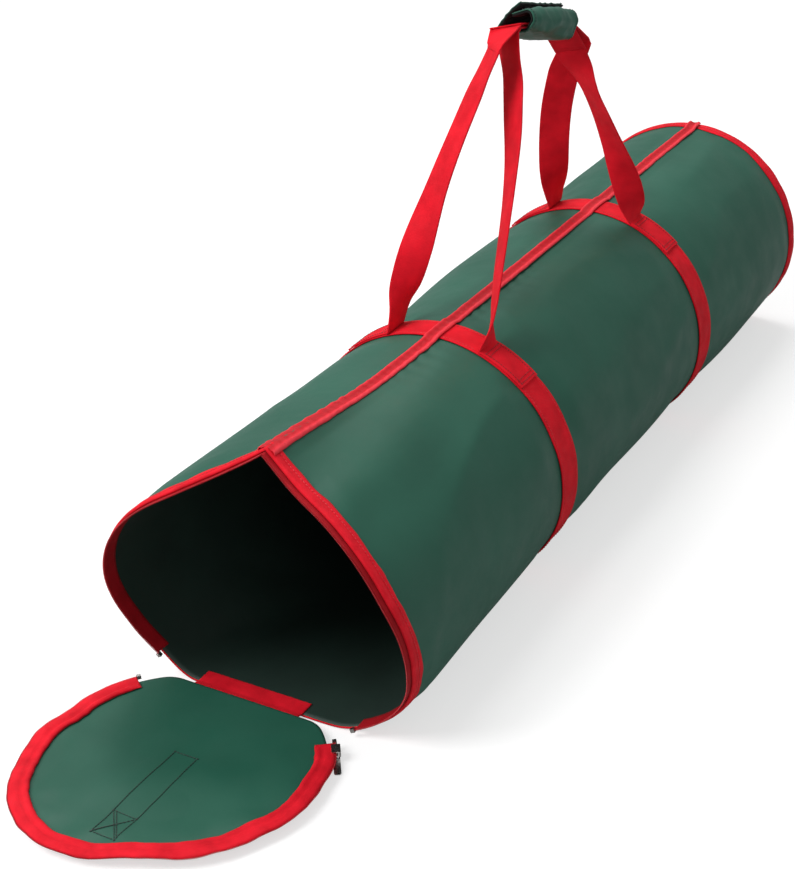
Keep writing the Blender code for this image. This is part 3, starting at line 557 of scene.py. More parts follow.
def red_webbing():
    """Flat red webbing: coarse herringbone ribs along the strap."""
    finish = Finish("red_flat_webbing", (0.60, 0.009, 0.020), 0.66,
                    {SHEEN: 0.05, SHEEN_TINT: RED_SHEEN, SHINE: 0.12})
    finish.tint(finish.noise(45.0, 5.0), (0.28, (0.54, 0.0030, 0.012)), (0.70, (0.76, 0.0070, 0.020)))
    finish.rough(finish.noise(70.0, 3.0), 0.62, 0.78)
    finish.bump(finish.noise(55.0, 2.0), 0.22, 0.0012)
    finish.bump(finish.weave(0.0017, 0.0022, 0.5), 0.60, 0.00022)
    return finish.material


def black_lining():
    """Brushed black lining and fastening strips."""
    finish = Finish("black_brushed_lining", (0.010, 0.011, 0.011), 0.88,
                    {SHEEN: 0.03, SHEEN_SPREAD: 0.6, SHINE: 0.15})
    finish.tint(finish.noise(240.0, 4.0), (0.30, (0.0030, 0.0034, 0.0034)),
                (0.72, (0.0085, 0.0095, 0.0090)))
    finish.bump(finish.noise(900.0, 3.0), 0.7, 0.0005)
    finish.bump(finish.noise(90.0, 2.0), 0.3, 0.0010)
    return finish.material


def thread(name, dark, light):
    """Sewing thread: a twisted line with a little shine."""
    finish = Finish(name, light, 0.48, {SHEEN: 0.05})
    finish.tint(finish.noise(700.0, 2.0), (0.3, dark), (0.7, light))
    finish.bump(finish.noise(1500.0, 2.0), 0.4, 0.0002)
    return finish.material


def coil_plastic():
    """Smooth dyed plastic of the zip's coil."""
    finish = Finish("red_zip_coil", (0.42, 0.006, 0.014), 0.34)
    finish.tint(finish.noise(400.0, 2.0), (0.3, (0.34, 0.004, 0.010)), (0.7, (0.47, 0.008, 0.017)))
    finish.rough(finish.noise(300.0, 2.0), 0.28, 0.44)
    return finish.material


def slider_metal():
    """Nickel-plated zinc with fine scuffs."""
    finish = Finish("nickel_plated_metal", (0.60, 0.59, 0.57), 0.28, {"Metallic": 1.0})
    scuffs = finish.noise(500.0, 4.0, (1.0, 6.0, 1.0))
    finish.tint(scuffs, (0.3, (0.50, 0.49, 0.47)), (0.7, (0.66, 0.65, 0.63)))
    finish.rough(scuffs, 0.22, 0.42)
    finish.bump(scuffs, 0.15, 0.0001)
    return finish.material


GREEN = coated_cloth()
SHADE_PAINTED_INSIDE = coated_inside()
TAPE = red_tape("red_woven_tape", (0.54, 0.0036, 0.013), (0.76, 0.0080, 0.022))
# The mouth's zip tape: a darkened copy of the red tape, painted shade inside the rim.
SHADE_PAINTED_ZIP_TAPE = red_tape("red_zip_tape_painted_shade", (0.26, 0.0020, 0.006), (0.36, 0.0040, 0.010))
SHADE_PAINTED_SEAM_TAPE = red_seam_tape_painted_shade_highlight()
WEBBING = red_webbing()
LINING = black_lining()
RED_THREAD = thread("red_sewing_thread", (0.42, 0.005, 0.012), (0.74, 0.030, 0.045))
DARK_RED_THREAD = thread("deep_red_sewing_thread", (0.14, 0.002, 0.006), (0.26, 0.004, 0.010))
DARK_THREAD = thread("dark_sewing_thread", (0.006, 0.016, 0.012), (0.016, 0.034, 0.027))
COIL = coil_plastic()
METAL = slider_metal()


# Rows of stitches and zip coils, made by Geometry Nodes

BEAD_SIZES = (("Pitch", 0.003), ("Length", 0.0026), ("Radius", 0.0004))


def repeat_tree(name, across):
    """Nodes that set one bead after another along edges: stitches on the line, or coil loops across it."""
    tree = bpy.data.node_groups.new(name, 'GeometryNodeTree')
    face, nodes = tree.interface, tree.nodes
    face.new_socket("Geometry", in_out='OUTPUT', socket_type='NodeSocketGeometry')
    face.new_socket("Geometry", in_out='INPUT', socket_type='NodeSocketGeometry')
    for label, value in BEAD_SIZES:
        face.new_socket(label, in_out='INPUT', socket_type='NodeSocketFloat').default_value = value
    face.new_socket("Finish", in_out='INPUT', socket_type='NodeSocketMaterial')
    way_kind = 'GeometryNodeInputNamedAttribute' if across else 'GeometryNodeInputTangent'
    source, result, line, spaced, bead, size, diameter, shaped, placed, turned, real, smooth, finish, way = (
        nodes.new(kind) for kind in (
            'NodeGroupInput', 'NodeGroupOutput', 'GeometryNodeMeshToCurve', 'GeometryNodeResampleCurve',
            'GeometryNodeMeshUVSphere', 'ShaderNodeCombineXYZ', 'ShaderNodeMath', 'GeometryNodeTransform',
            'GeometryNodeInstanceOnPoints', 'FunctionNodeAlignRotationToVector',
            'GeometryNodeRealizeInstances', 'GeometryNodeSetShadeSmooth', 'GeometryNodeSetMaterial',
            way_kind))
    spaced.mode = 'LENGTH'
    turned.axis = 'Z'
    diameter.operation = 'MULTIPLY'
    diameter.inputs[1].default_value = 2.0
    for label, value in (("Segments", 6), ("Rings", 5), ("Radius", 0.5)):
        bead.inputs[label].default_value = value
    if across:
        way.data_type = 'FLOAT_VECTOR'
        way.inputs["Name"].default_value = "across"
    for giver, output, taker, socket in (
            (source, "Geometry", line, "Mesh"), (line, "Curve", spaced, "Curve"),
            (source, "Pitch", spaced, "Length"), (source, "Radius", diameter, 0),
            (diameter, 0, size, "X"), (diameter, 0, size, "Y"), (source, "Length", size, "Z"),
            (bead, "Mesh", shaped, "Geometry"), (size, 0, shaped, "Scale"), (way, 0, turned, "Vector"),
            (spaced, "Curve", placed, "Points"), (shaped, "Geometry", placed, "Instance"),
            (turned, "Rotation", placed, "Rotation"), (placed, "Instances", real, "Geometry"),
            (real, "Geometry", smooth, "Geometry"), (smooth, "Geometry", finish, "Geometry"),
            (source, "Finish", finish, "Material"), (finish, "Geometry", result, "Geometry")):
        tree.links.new(giver.outputs[output], taker.inputs[socket])
    return tree


STITCH_TREE = repeat_tree("row_of_stitches", False)
COIL_TREE = repeat_tree("row_of_coil_loops", True)


def repeated(name, lines, tree, pitch, length, radius, material, across=()):
    """Beads along lines of points."""
    mesh = bpy.data.meshes.new(name)
    points, edges = [], []
    for line in lines:
        first = len(points)
        points.extend(line)
        edges.extend((index, index + 1) for index in range(first, len(points) - 1))
    mesh.from_pydata(points, edges, [])
    if across:
        attribute = mesh.attributes.new("across", 'FLOAT_VECTOR', 'POINT')
        for item, value in zip(attribute.data, across):
            item.vector = value
    obj = finish_object(name, mesh)
    step = obj.modifiers.new("Repeat", 'NODES')
    step.node_group = tree
    values = {"Pitch": pitch, "Length": length, "Radius": radius, "Finish": material}
    for item in tree.interface.items_tree:
        if item.item_type == 'SOCKET' and item.in_out == 'INPUT' and item.name in values:
            step[item.identifier] = values[item.name]
    return obj


def stitches(name, lines, material, pitch=0.0034, length=0.0027, radius=0.00032):
    return repeated(name, lines, STITCH_TREE, pitch, length, radius, material)


def coil_loops(name, line, ways):
    return repeated(name, [line], COIL_TREE, COIL_PITCH, COIL_LOOP, COIL_WIRE, COIL, ways)


# Bag

TUBE_TURNS, TUBE_RINGS, EDGE_TURNS = 176, 190, 360


def bag_shell():
    turns = evenly(-1.0, 1.0, TUBE_TURNS)
    places = [evenly(rim_y(turn), REAR_Y, TUBE_RINGS) for turn in turns[:-1]]
    rows = [[tube_point(turn, y, relief(turn, y)) for y in row] for turn, row in zip(turns, places)]
    arc = 0.83 / len(turns)
    uvs = [[(index * arc, y) for y in row] for index, row in enumerate(places)]
    # The inner faces take the inside cloth, darkened as painted shade.
    obj = grid_piece("bag_shell", rows, GREEN, uvs, closed=True, wall=PANEL_THICKNESS, inner=SHADE_PAINTED_INSIDE)
    dress(obj, "root", "green_coated", "main_panel")


def rear_end():
    """The sewn-in round end, puckered where it meets its piping."""
    centre = Vector((0.0, REAR_Y, BASE_Z + CENTRE_HEIGHT))
    rows = []
    for turn in evenly(-1.0, 1.0, TUBE_TURNS)[:-1]:
        edge = tube_point(turn, REAR_Y, 0.0)
        row = []
        for share in evenly(1.0, 0.0, 26)[:-1]:
            spot = centre.lerp(edge, share)
            bulge = LAYER_GAP + PANEL_THICKNESS + REAR_BULGE * (1.0 - share * share)
            gather = 0.0012 * math.sin(turn * 58.0 + 2.0 * soft_noise(turn * 6.0, share, 2.0))
            gather *= smooth_step((share - 0.55) / 0.35) * smooth_step((1.0 - share) / 0.06)
            wave = 0.0022 * soft_noise(spot.x * 14.0, 0.0, spot.z * 14.0) * smooth_step((1.0 - share) / 0.2)
            row.append(Vector((spot.x, REAR_Y + bulge + gather + wave, spot.z)))
        rows.append(row)
    uvs = [[(spot.x, spot.z) for spot in row] for row in rows]
    obj = disc_piece("rear_end_cloth", rows, uvs, centre, 0.05, (0.0, 1.0, 0.0))
    dress(obj, "root", "green_coated", "rear_panel")


def ruffle(turn, y, amount):
    """Small waves of a sewn edge."""
    return amount * soft_noise(turn * 21.0, y * 60.0, 4.4)


# Distance behind the rim and height of the mouth's binding, from its fold inwards
MOUTH_PROFILE = ((-0.0009, -0.0013), (-0.0012, -0.0004), (-0.0009, 0.0007), (0.0003, 0.0016),
                 (0.0022, 0.0019), (0.0050, 0.0015), (0.0076, 0.0010), (0.0098, 0.0015), (0.0118, 0.0011))


def mouth_border():
    """Binding round the mouth: flat outer leg, a rolled edge at the rim and a ruffled inner edge."""
    rows = []
    for turn in evenly(-1.0, 1.0, EDGE_TURNS)[:-1]:
        front = rim_y(turn)
        row = []
        for distance, height in MOUTH_PROFILE:
            edge = smooth_step((distance - 0.0075) / 0.004)
            y = front + distance + ruffle(turn, 0.0, 0.0016) * edge
            height += abs(ruffle(turn, 1.0, 0.0012)) * edge + relief(turn, y)
            row.append(tube_point(turn, y, LAYER_GAP / 2 + height))
        rows.append(row)
    obj = grid_piece("mouth_border_tape", rows, TAPE, closed=True, wall=BINDING_THICKNESS * 0.8)
    dress(obj, "root", "red_tape", "mouth_binding")


def rear_piping():
    """Binding round the closed end, folded over the seam and wavy along its front edge."""
    back = REAR_Y + 2 * LAYER_GAP + PANEL_THICKNESS
    foot = 0.0011
    rows = []
    for turn in evenly(-1.0, 1.0, EDGE_TURNS)[:-1]:
        wave = 0.0022 * soft_noise(turn * 9.0, 0.0, 8.8) + 0.0012 * soft_noise(turn * 24.0, 3.0, 8.8)
        right = 0.0030 * smooth_step((turn - 0.1) / 0.2) * smooth_step((0.75 - turn) / 0.2)
        low = 1.0 - smooth_step((abs(turn) - 0.70) / 0.14)
        lift = (0.0012 + 0.0010 * abs(soft_noise(turn * 13.0, 1.0, 2.2))) * low
        profile = ((REAR_Y - REAR_BINDING_WIDTH + wave - right, foot),
                   (REAR_Y - REAR_BINDING_WIDTH * 0.55 + wave, foot + lift * 0.5),
                   (REAR_Y - REAR_BINDING_WIDTH * 0.2, foot + lift), (back - 0.0004, foot + lift),
                   (back + 0.0012, 0.0009 + lift * 0.6), (back + 0.0018, 0.0002),
                   (back + 0.0016, -0.0016), (back + 0.0011, -0.0060), (back + 0.0013, -0.0078))
        rows.append([tube_point(turn, y, offset) for y, offset in profile])
    obj = grid_piece("rear_end_piping", rows, TAPE, closed=True, wall=BINDING_THICKNESS)
    dress(obj, "root", "red_tape", "rear_binding")


def tape_stations():
    """Places and heights of the seam tape along the bag: it climbs over both bands and both ends."""
    low = LAYER_GAP + BINDING_THICKNESS
    over_binding = low + BINDING_THICKNESS + LAYER_GAP
    over_band = BAND_TOP + LAYER_GAP + BINDING_THICKNESS
    ramp = 0.008
    front = rim_y(0.0)
    stations = [(front + 0.0002, over_binding), (front + BINDING_WIDTH, over_binding),
                (front + BINDING_WIDTH + ramp, low)]
    half = WEBBING_WIDTH / 2
    for middle in (0.0, REAR_BAND_Y):
        stations += [(middle - half - ramp, low), (middle - half, over_band),
                     (middle + half, over_band), (middle + half + ramp, low)]
    step = REAR_Y - REAR_BINDING_WIDTH
    return stations + [(step - ramp, low), (step, over_binding + 0.0012), (REAR_Y, over_binding + 0.0016)]


TAPE_STATIONS = tape_stations()


def tape_height(y):
    for (first, low), (second, high) in zip(TAPE_STATIONS, TAPE_STATIONS[1:]):
        if y <= second:
            return low + (high - low) * smooth_step((y - first) / (second - first))
    return TAPE_STATIONS[-1][1]


TAPE_PROFILE = ((-1.00, 0.0000), (-0.95, 0.0009), (-0.80, 0.0018), (-0.60, 0.0017), (-0.40, 0.0006),
                (-0.16, 0.0000), (0.10, 0.0001), (0.34, 0.0005), (0.54, 0.0016), (0.76, 0.0018),
                (0.94, 0.0009), (1.00, 0.0000))


def tape_place(share, y):
    """Turn and height of the seam tape: share across it from -1 to 1."""
    sway = 0.0012 * soft_noise(y * 6.0, 0.0, 1.1) + 0.0005 * soft_noise(y * 34.0, 2.0, 1.1)
    edge = 0.0006 * soft_noise(y * 60.0, share * 2.0, 6.0) * abs(share)
    turn = (share * TAPE_SEWN_WIDTH / 2 + sway + edge) / (math.pi * BAG_RADIUS)
    return turn, tape_height(y)


def top_tape():
    """The tape over the long top seam, with a raised fold on each side of its sewn groove."""
    front = rim_y(0.0)
    rows = []
    for share, lift in TAPE_PROFILE:
        row = []
        for y in evenly(front + 0.0004, REAR_Y + 0.0010, 620):
            turn, height = tape_place(share, y)
            pucker = 0.00035 * math.sin(y / 0.0115 * 2 * math.pi + share * 2.0) * (1.0 - share * share)
            ahead = y + (rim_y(turn) - front) * smooth_step((front + 0.03 - y) / 0.03)
            height += lift + pucker + max(relief(turn, ahead), 0.0) * 0.5
            row.append(tube_point(turn, ahead, height))
        rows.append(row)
    obj = grid_piece("top_seam_tape_cloth", rows, SHADE_PAINTED_SEAM_TAPE, wall=BINDING_THICKNESS * 0.9)
    dress(obj, "root", "red_tape", "top_seam_tape")


# Shares across a band and across a strap, and how far its woven edges stand up
BAND_PROFILE = ((-1.0, -0.0003), (-0.97, 0.0), (-0.90, 0.00018), (-0.80, 0.0), (-0.5, 0.0), (0.0, 0.0),
                (0.5, 0.0), (0.80, 0.0), (0.90, 0.00018), (0.97, 0.0), (1.0, -0.0003))
STRAP_SHARES = (-1.0, -0.95, -0.84, -0.6, -0.3, 0.0, 0.3, 0.6, 0.84, 0.95, 1.0)


def webbing_band(name, middle, node):
    """A band sewn round the tube: woven edges stand a little above its middle."""
    half = WEBBING_WIDTH / 2
    rows = []
    for turn in evenly(-1.0, 1.0, 300)[:-1]:
        press = 1.0 - smooth_step((abs(turn) - 0.70) / 0.12)
        wave = 0.0009 * soft_noise(turn * 8.0, middle * 9.0, 0.3) * press
        lift = 0.0004 * soft_noise(turn * 15.0, middle, 5.5) * press
        rows.append([tube_point(turn, middle + share * half + wave, BAND_TOP + height * press + lift)
                     for share, height in BAND_PROFILE])
    obj = grid_piece(name, rows, WEBBING, closed=True, wall=WEBBING_THICKNESS)
    dress(obj, "root", "red_webbing", node)


def mouth_zip():
    """Zip tape sewn inside the rim, its colour darkened as painted shade, and the coil along its edge."""
    inside = -PANEL_THICKNESS - LAYER_GAP
    reaches = (-ZIP_TAPE_REACH - 0.0018, -0.0040, -0.0020, 0.0, 0.0030, 0.0060, ZIP_TAPE_OVERLAP)
    rows = [[tube_point(turn, rim_y(turn) + distance, inside + 0.0001) for distance in reaches]
            for turn in evenly(ZIP_START, ZIP_END, 300)]
    obj = grid_piece("mouth_zip_tape_cloth", rows, SHADE_PAINTED_ZIP_TAPE, wall=ZIP_TAPE_THICKNESS)
    dress(obj, "root", "red_tape", "mouth_zip_tape")
    middle = inside - ZIP_TAPE_THICKNESS / 2
    line, ways = [], []
    for turn in evenly(ZIP_START, ZIP_END, 400):
        y = rim_y(turn) - (ZIP_TAPE_REACH + COIL_LEAD)
        line.append(tube_point(turn, y, middle))
        outward = (tube_point(turn, y, middle + 0.001) - tube_point(turn, y, middle - 0.001)).normalized()
        ways.append((outward + Vector((0.0, -COIL_SLANT, 0.0))).normalized())
    dress(coil_loops("mouth_coil_loops", line, ways), "root", "red_coil", "mouth_zip_coil")


# Flap

def flap_spot(x, y, z):
    """A point of the flap with its soft wave, which dies out at the hinge and the zip's right end."""
    away = smooth_step((HINGE_Y - 0.075 - y) / 0.05)
    near_slider = smooth_step((math.hypot(x - SLIDER_SPOT[0], y - SLIDER_SPOT[1]) - 0.020) / 0.030)
    reach = math.hypot(x - FLAP_X, y - FLAP_Y) / FLAP_EDGE_RADIUS
    edge = smooth_step((reach - 0.55) / 0.4)
    broad = 0.0030 * (soft_noise(x * 16.0, y * 16.0, 2.0) + 0.28)
    ripple = 0.0026 * (soft_noise(x * 34.0, y * 34.0, 6.0) + 0.3) * edge
    return Vector((x, y, z + max(broad + ripple, 0.0) * away * near_slider))


# The soft flap is pulled out of round as it lies: degrees from its front, and metres outwards
FLAP_PULLS = (
    (-128.0, 0.0), (-112.0, -0.0010), (-96.0, -0.0045), (-82.0, 0.0010), (-66.0, 0.0040),
    (-50.0, 0.0085), (-32.0, 0.0130), (-18.0, 0.0120), (-8.0, 0.0070), (2.0, 0.0010),
    (14.0, -0.0060), (28.0, -0.0095), (45.0, -0.0085), (58.0, -0.0095), (75.0, -0.0080),
    (92.0, -0.0060), (105.0, -0.0045), (116.0, -0.0015), (128.0, 0.0),
)


def rim_wave(angle):
    """How far the flap's sewn edge lies outside its round shape, with the waves of its stitching."""
    near = smooth_step((ZIP_HALF_SPAN - abs(angle)) / 0.35)
    pull = spline_value(FLAP_PULLS, math.degrees(angle)) if abs(angle) < ZIP_HALF_SPAN else 0.0
    wave = 0.0014 * soft_noise(angle * 3.1, 0.0, 4.0) + 0.0009 * soft_noise(angle * 9.0, 2.0, 4.0)
    return pull + wave * near


def edge_spot(angle, radius, height):
    """A point on the pulled round of the flap, at an angle from its front."""
    return flap_spot(FLAP_X + radius * math.sin(angle), FLAP_Y - radius * math.cos(angle), height)


def arc_points(centre, radius, start, end, steps):
    return [(centre[0] + radius * math.sin(angle), centre[1] - radius * math.cos(angle))
            for angle in evenly(start, end, steps)]


def flap_outline(radius, steps):
    """A circle cut by the hinge chord, with round corners at the chord's ends."""
    inner = radius - FLAP_CORNER_RADIUS
    rise = PANEL_CHORD - FLAP_CORNER_RADIUS
    across = math.sqrt(inner * inner - rise * rise)
    meet = math.pi - math.atan2(across, rise)
    right = (FLAP_X + across, FLAP_Y + rise)
    left = (FLAP_X - across, FLAP_Y + rise)
    chord = [(x, FLAP_Y + PANEL_CHORD) for x in evenly(right[0], left[0], 40)[1:-1]]
    return (arc_points((FLAP_X, FLAP_Y), radius, -meet, meet, steps)
            + arc_points(right, FLAP_CORNER_RADIUS, meet, math.pi, 14)[1:] + chord
            + arc_points(left, FLAP_CORNER_RADIUS, -math.pi, -meet, 14)[:-1])


def flap_cloth():
    """The round end flap lying open, green side up, with shallow waves."""
    rows = []
    for x, y in flap_outline(FLAP_EDGE_RADIUS, 220):
        pull = rim_wave(math.atan2(x - FLAP_X, FLAP_Y - y)) / FLAP_EDGE_RADIUS
        row = []
        for share in evenly(1.0, 0.0, 44)[:-1]:
            scale = share * (1.0 + pull * share)
            row.append(flap_spot(FLAP_X + (x - FLAP_X) * scale, FLAP_Y + (y - FLAP_Y) * scale,
                                 FLAP_PANEL_Z + PANEL_THICKNESS))
        rows.append(row)
    uvs = [[(spot.x, spot.y) for spot in row] for row in rows]
    centre = Vector((FLAP_X, FLAP_Y, FLAP_PANEL_Z))
    obj = disc_piece("flap_cloth", rows, uvs, centre, 0.02, (0.0, 0.0, 1.0))
    dress(obj, "flap", "green_coated", "flap_panel")


def ring_rows(profile, steps):
    """Rows round the front of the flap, from the radii and heights across the ring."""
    rows = []
    for angle in evenly(-ZIP_HALF_SPAN, ZIP_HALF_SPAN, steps):
        ruffled = 0.0011 * soft_noise(angle * 17.0, 5.0, 1.0)
        inside = smooth_step((ZIP_HALF_SPAN - abs(angle)) / 0.12)
        first = profile[0][1]
        row = []
        for index, (radius, height) in enumerate(profile):
            spread = radius + rim_wave(angle) + (ruffled if index == 0 else 0.0)
            row.append(edge_spot(angle, spread, first + (height - first) * inside))
        rows.append(row)
    return rows


def flap_borders():
    """Binding below the flap's edge and zip tape above it, with the coil along the rim."""
    profile = [(FLAP_EDGE_RADIUS + reach, FLAP_SKIN_Z) for reach in (0.0010, -0.0050, -0.0100, -0.0140)]
    under = grid_piece("flap_border_tape", ring_rows(profile, 260), TAPE, wall=BINDING_THICKNESS)
    dress(under, "flap", "red_tape", "flap_binding")
    top = FLAP_TAPE_Z + ZIP_TAPE_THICKNESS
    inner = FLAP_EDGE_RADIUS - ZIP_TAPE_OVERLAP - 0.0015
    ridges = ((0.0, -0.0002), (0.0006, 0.0011), (0.0022, 0.0017), (0.0040, 0.0012), (0.0062, -0.0001),
              (0.0085, 0.0008), (0.0110, 0.0010), (0.0140, 0.0004))
    profile = [(inner + reach, top + height) for reach, height in ridges]
    profile.append((TAPE_EDGE_RADIUS + 0.0012, top - 0.0003))
    tape = grid_piece("flap_zip_tape_cloth", ring_rows(profile, 420), TAPE, wall=ZIP_TAPE_THICKNESS)
    dress(tape, "flap", "red_tape", "flap_zip_tape")
    line, ways = [], []
    for angle in evenly(-ZIP_HALF_SPAN, ZIP_HALF_SPAN, 420):
        line.append(edge_spot(angle, COIL_PATH_RADIUS + rim_wave(angle), COIL_Z))
        ways.append(Vector((COIL_SLANT * math.sin(angle), -COIL_SLANT * math.cos(angle), 1.0)).normalized())
    dress(coil_loops("flap_coil_loops", line, ways), "flap", "red_coil", "flap_zip_coil")


def hinge_fabric():
    """The sewn bridge between the bag's base and the flap, bending along the hinge line."""
    bag_z = BASE_Z + PANEL_THICKNESS + LAYER_GAP + ZIP_TAPE_THICKNESS
    flap_z = FLAP_SKIN_Z + ZIP_TAPE_THICKNESS
    bend = 0.004
    rows = []
    for x in evenly(FLAP_X - HINGE_HALF_LENGTH, FLAP_X + HINGE_HALF_LENGTH, 60):
        row = []
        for y in evenly(HINGE_Y - HINGE_TAPE_WIDTH, HINGE_Y + HINGE_TAPE_WIDTH, 40):
            share = smooth_step((HINGE_Y + bend - y) / (2 * bend))
            crease = 0.0003 * soft_noise(x * 60.0, y * 60.0, 3.0)
            row.append(Vector((x, y, bag_z + (flap_z - bag_z) * share + crease)))
        rows.append(row)
    obj = grid_piece("hinge_tape_cloth", rows, TAPE, wall=ZIP_TAPE_THICKNESS)
    dress(obj, None, "red_tape", "mouth_hinge_tape", "flap_hinge_tape")
    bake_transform(obj)


def pull_webbing():
    """Webbing sewn on the flap's outer side."""
    low = FLAP_PANEL_Z - LAYER_GAP
    front = FLAP_Y - PULL_STRAP_FRONT
    rows = []
    for share, height in ((-1.0, 0.0002), (-0.96, 0.0), (-0.85, 0.0001), (-0.4, 0.0), (0.4, 0.0),
                          (0.85, 0.0001), (0.96, 0.0), (1.0, 0.0002)):
        rows.append([flap_spot(FLAP_X + share * PULL_STRAP_HALF, y, low - height)
                     for y in evenly(front, front + PULL_STRAP_LENGTH, 60)])
    obj = grid_piece("flap_pull_webbing", rows, WEBBING, wall=0.0012)
    dress(obj, "flap", "red_webbing", "flap_pull_strap")


# Handles

def rounded_path(points, radius, steps):
    """Straight runs joined by arcs of one radius, as 2D points."""
    path = [points[0]]
    for before, corner, after in zip(points, points[1:], points[2:]):
        into = (corner - before).normalized()
        away = (after - corner).normalized()
        turn = into.angle(away)
        toward = (away - into).normalized()
        centre = corner + toward * radius / math.cos(turn / 2)
        start = corner - into * radius * math.tan(turn / 2) - centre
        for angle in evenly(0.0, turn, steps):
            path.append(centre + start * math.cos(angle) + into * radius * math.sin(angle))
    return path + [points[-1]]


def ways_along(points):
    """Direction of a row of points at each of them."""
    last = len(points) - 1
    return [(points[min(index + 1, last)] - points[max(index - 1, 0)]).normalized()
            for index in range(last + 1)]


def offset_path(path, distance):
    """A 2D path moved to its left by a distance."""
    return [point + Vector((-way.y, way.x)) * distance for point, way in zip(path, ways_along(path))]


def hand_place(along, rise):
    """A point (y, z) by its place along the hand's run of the straps and its rise above it."""
    cosine, sine = math.cos(HAND_SLOPE), math.sin(HAND_SLOPE)
    return Vector((HAND_Y + along * cosine - rise * sine, HAND_HEIGHT + along * sine + rise * cosine))


def fold_spot(sign):
    return tube_point(sign * FOLD_ANGLE / math.pi, 0.0, FOLD_OFFSET)


def strap_path(sign):
    """Middle line (y, z) of one strap: up, level through the grip, over its kink and down."""
    foot = fold_spot(sign).z
    corners = [Vector((0.0, foot)), hand_place(RISE_FRONT, GRIP_RISE), hand_place(RISE_REAR, GRIP_RISE),
               hand_place(*(RIGHT_KINK_REAR if sign > 0 else LEFT_KINK_REAR)), Vector((REAR_BAND_Y, foot))]
    if sign < 0:
        corners.insert(1, hand_place(*LEFT_KINK_FRONT))
    bend = RIGHT_BEND if sign > 0 else LEFT_BEND
    path = offset_path(rounded_path(corners, bend, 4), -sign * STRAP_SPACING / 2)
    path[0].y = path[-1].y = foot
    return path


def hand_turn(place_y, path, flat, front, rear):
    """Turn of a strap on its run through the hand: as its strands come in, flat in between."""
    into = 1.0 - smooth_step((place_y - path[1].x) / HAND_TWIST_REACH)
    away = 1.0 - smooth_step((path[-2].x - place_y) / HAND_TWIST_REACH)
    return flat + (front - flat) * into + (rear - flat) * away


def sway(side, run, share):
    """Sideways pull of a strand below the hand, none at its fold and in the grip."""
    reach = HANDLE_SWAY.get((side, run), 0.0)
    return reach * smooth_step((share - 0.15) / 0.55) * smooth_step((1.0 - share) / 0.16)


def strap_stations(sign, twists):
    """Middle points and half-width vectors along one handle, fold to fold."""
    side, flat = ("right", 180.0) if sign > 0 else ("left", 0.0)
    path = strap_path(sign)
    shares = evenly(0.0, 1.0, STRAND_STEPS)
    stations = [(share, path[0].lerp(path[1], share), "front") for share in shares[:-1]]
    stations += [(1.0, point, "grip") for point in path[1:-1]]
    stations += [(1.0 - share, path[-2].lerp(path[-1], share), "rear") for share in shares[1:]]
    lean = sign * abs(fold_spot(sign).x)
    made = []
    for (share, point, run), way in zip(stations, ways_along([station[1] for station in stations])):
        if run == "grip":
            angle = hand_turn(point.x, path, flat, twists["front"][-1][1], twists["rear"][-1][1])
        else:
            angle = spline_value(twists[run], share)
        turn = math.radians(angle)
        tilt = STRAP_TILT * smooth_step(share / TILT_SPAN + 1.0 - 1.0 / TILT_SPAN)
        level = Vector((math.cos(turn), math.sin(turn), 0.0)) * math.cos(tilt)
        lift = Vector((0.0, -way.y, way.x)) * math.sin(tilt) * math.copysign(1.0, level.x)
        across = lean * (1.0 - share ** STRAND_BOW) + sway(side, run, share)
        made.append((Vector((across, point.x, point.y)), (level + lift) * (HANDLE_WIDTH / 2)))
    return made


def sewn_stations(sign, middle_y, half):
    """The end sewn flat on a band, from its cut edge up to the fold."""
    turns = evenly(STRAP_END_ANGLE / math.pi, (FOLD_ANGLE + math.radians(1.2)) / math.pi, 9)
    top = STRAP_END_TOP - WEBBING_THICKNESS / 2
    return [(tube_point(sign * turn, middle_y, top), half) for turn in turns]


def smoothed(stations, steps):
    """Catmull-Rom points between stations, for middles and half-width vectors alike."""
    made = []
    last = len(stations) - 1
    for index in range(last):
        keys = [stations[min(max(index + shift, 0), last)] for shift in (-1, 0, 1, 2)]
        for step in range(steps):
            made.append([cubic(start, end, (end - before) * 0.5, (after - start) * 0.5, step / steps)
                         for before, start, end, after in zip(*keys)])
    return made + [stations[-1]]


def handle_strap(side, sign, twists):
    """One handle: a single length of webbing from its front sewn end over the grip to its rear one."""
    stations = strap_stations(sign, twists)
    front_end = sewn_stations(sign, 0.0, stations[0][1])
    rear_end = sewn_stations(sign, REAR_BAND_Y, stations[-1][1])[::-1]
    spots = smoothed(front_end + stations + rear_end, 4)
    count = len(spots)
    rows = []
    for index, ((middle, half), along) in enumerate(zip(spots, ways_along([spot[0] for spot in spots]))):
        out = along.cross(half).normalized()
        free = smooth_step((min(index, count - 1 - index) - 40) / 24.0)
        free *= smooth_step((abs(index - count / 2) - 16) / 14.0)
        row = []
        for share in STRAP_SHARES:
            cup = 0.0010 * soft_noise(index * 0.045, sign, 2.0) * (1.0 - share * share)
            wave = 0.0007 * soft_noise(index * 0.09, share * 1.2, sign * 3.0)
            row.append(middle + half * share + out * (cup + wave) * free)
        rows.append(row)
    obj = grid_piece(side + "_handle_strap", rows, WEBBING, wall=WEBBING_THICKNESS, offset=0.0)
    dress(obj, None, "red_webbing", side + "_handle_webbing",
          "front_" + side + "_strap_end", "rear_" + side + "_strap_end")
    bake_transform(obj)


# Grip

def base_point(across, sag):
    return Vector((across, across * math.tan(STRAP_TILT) - WRAP_DROP / math.cos(STRAP_TILT) - sag))


def near_section(along, setback=0.0):
    """Outer face of the right handle's half: under the straps, up and over to its free edge."""
    sag = WRAP_SAG * smooth_step((along - WRAP_FRONT) / (WRAP_REAR - WRAP_FRONT))
    points = [base_point(setback - HANDLE_WIDTH / 2, sag / 2), base_point(WRAP_BASE, sag),
              Vector(WRAP_SIDE), Vector(WRAP_SHOULDER), Vector(WRAP_END)]
    return rounded_path(points, WRAP_BEND, 12)


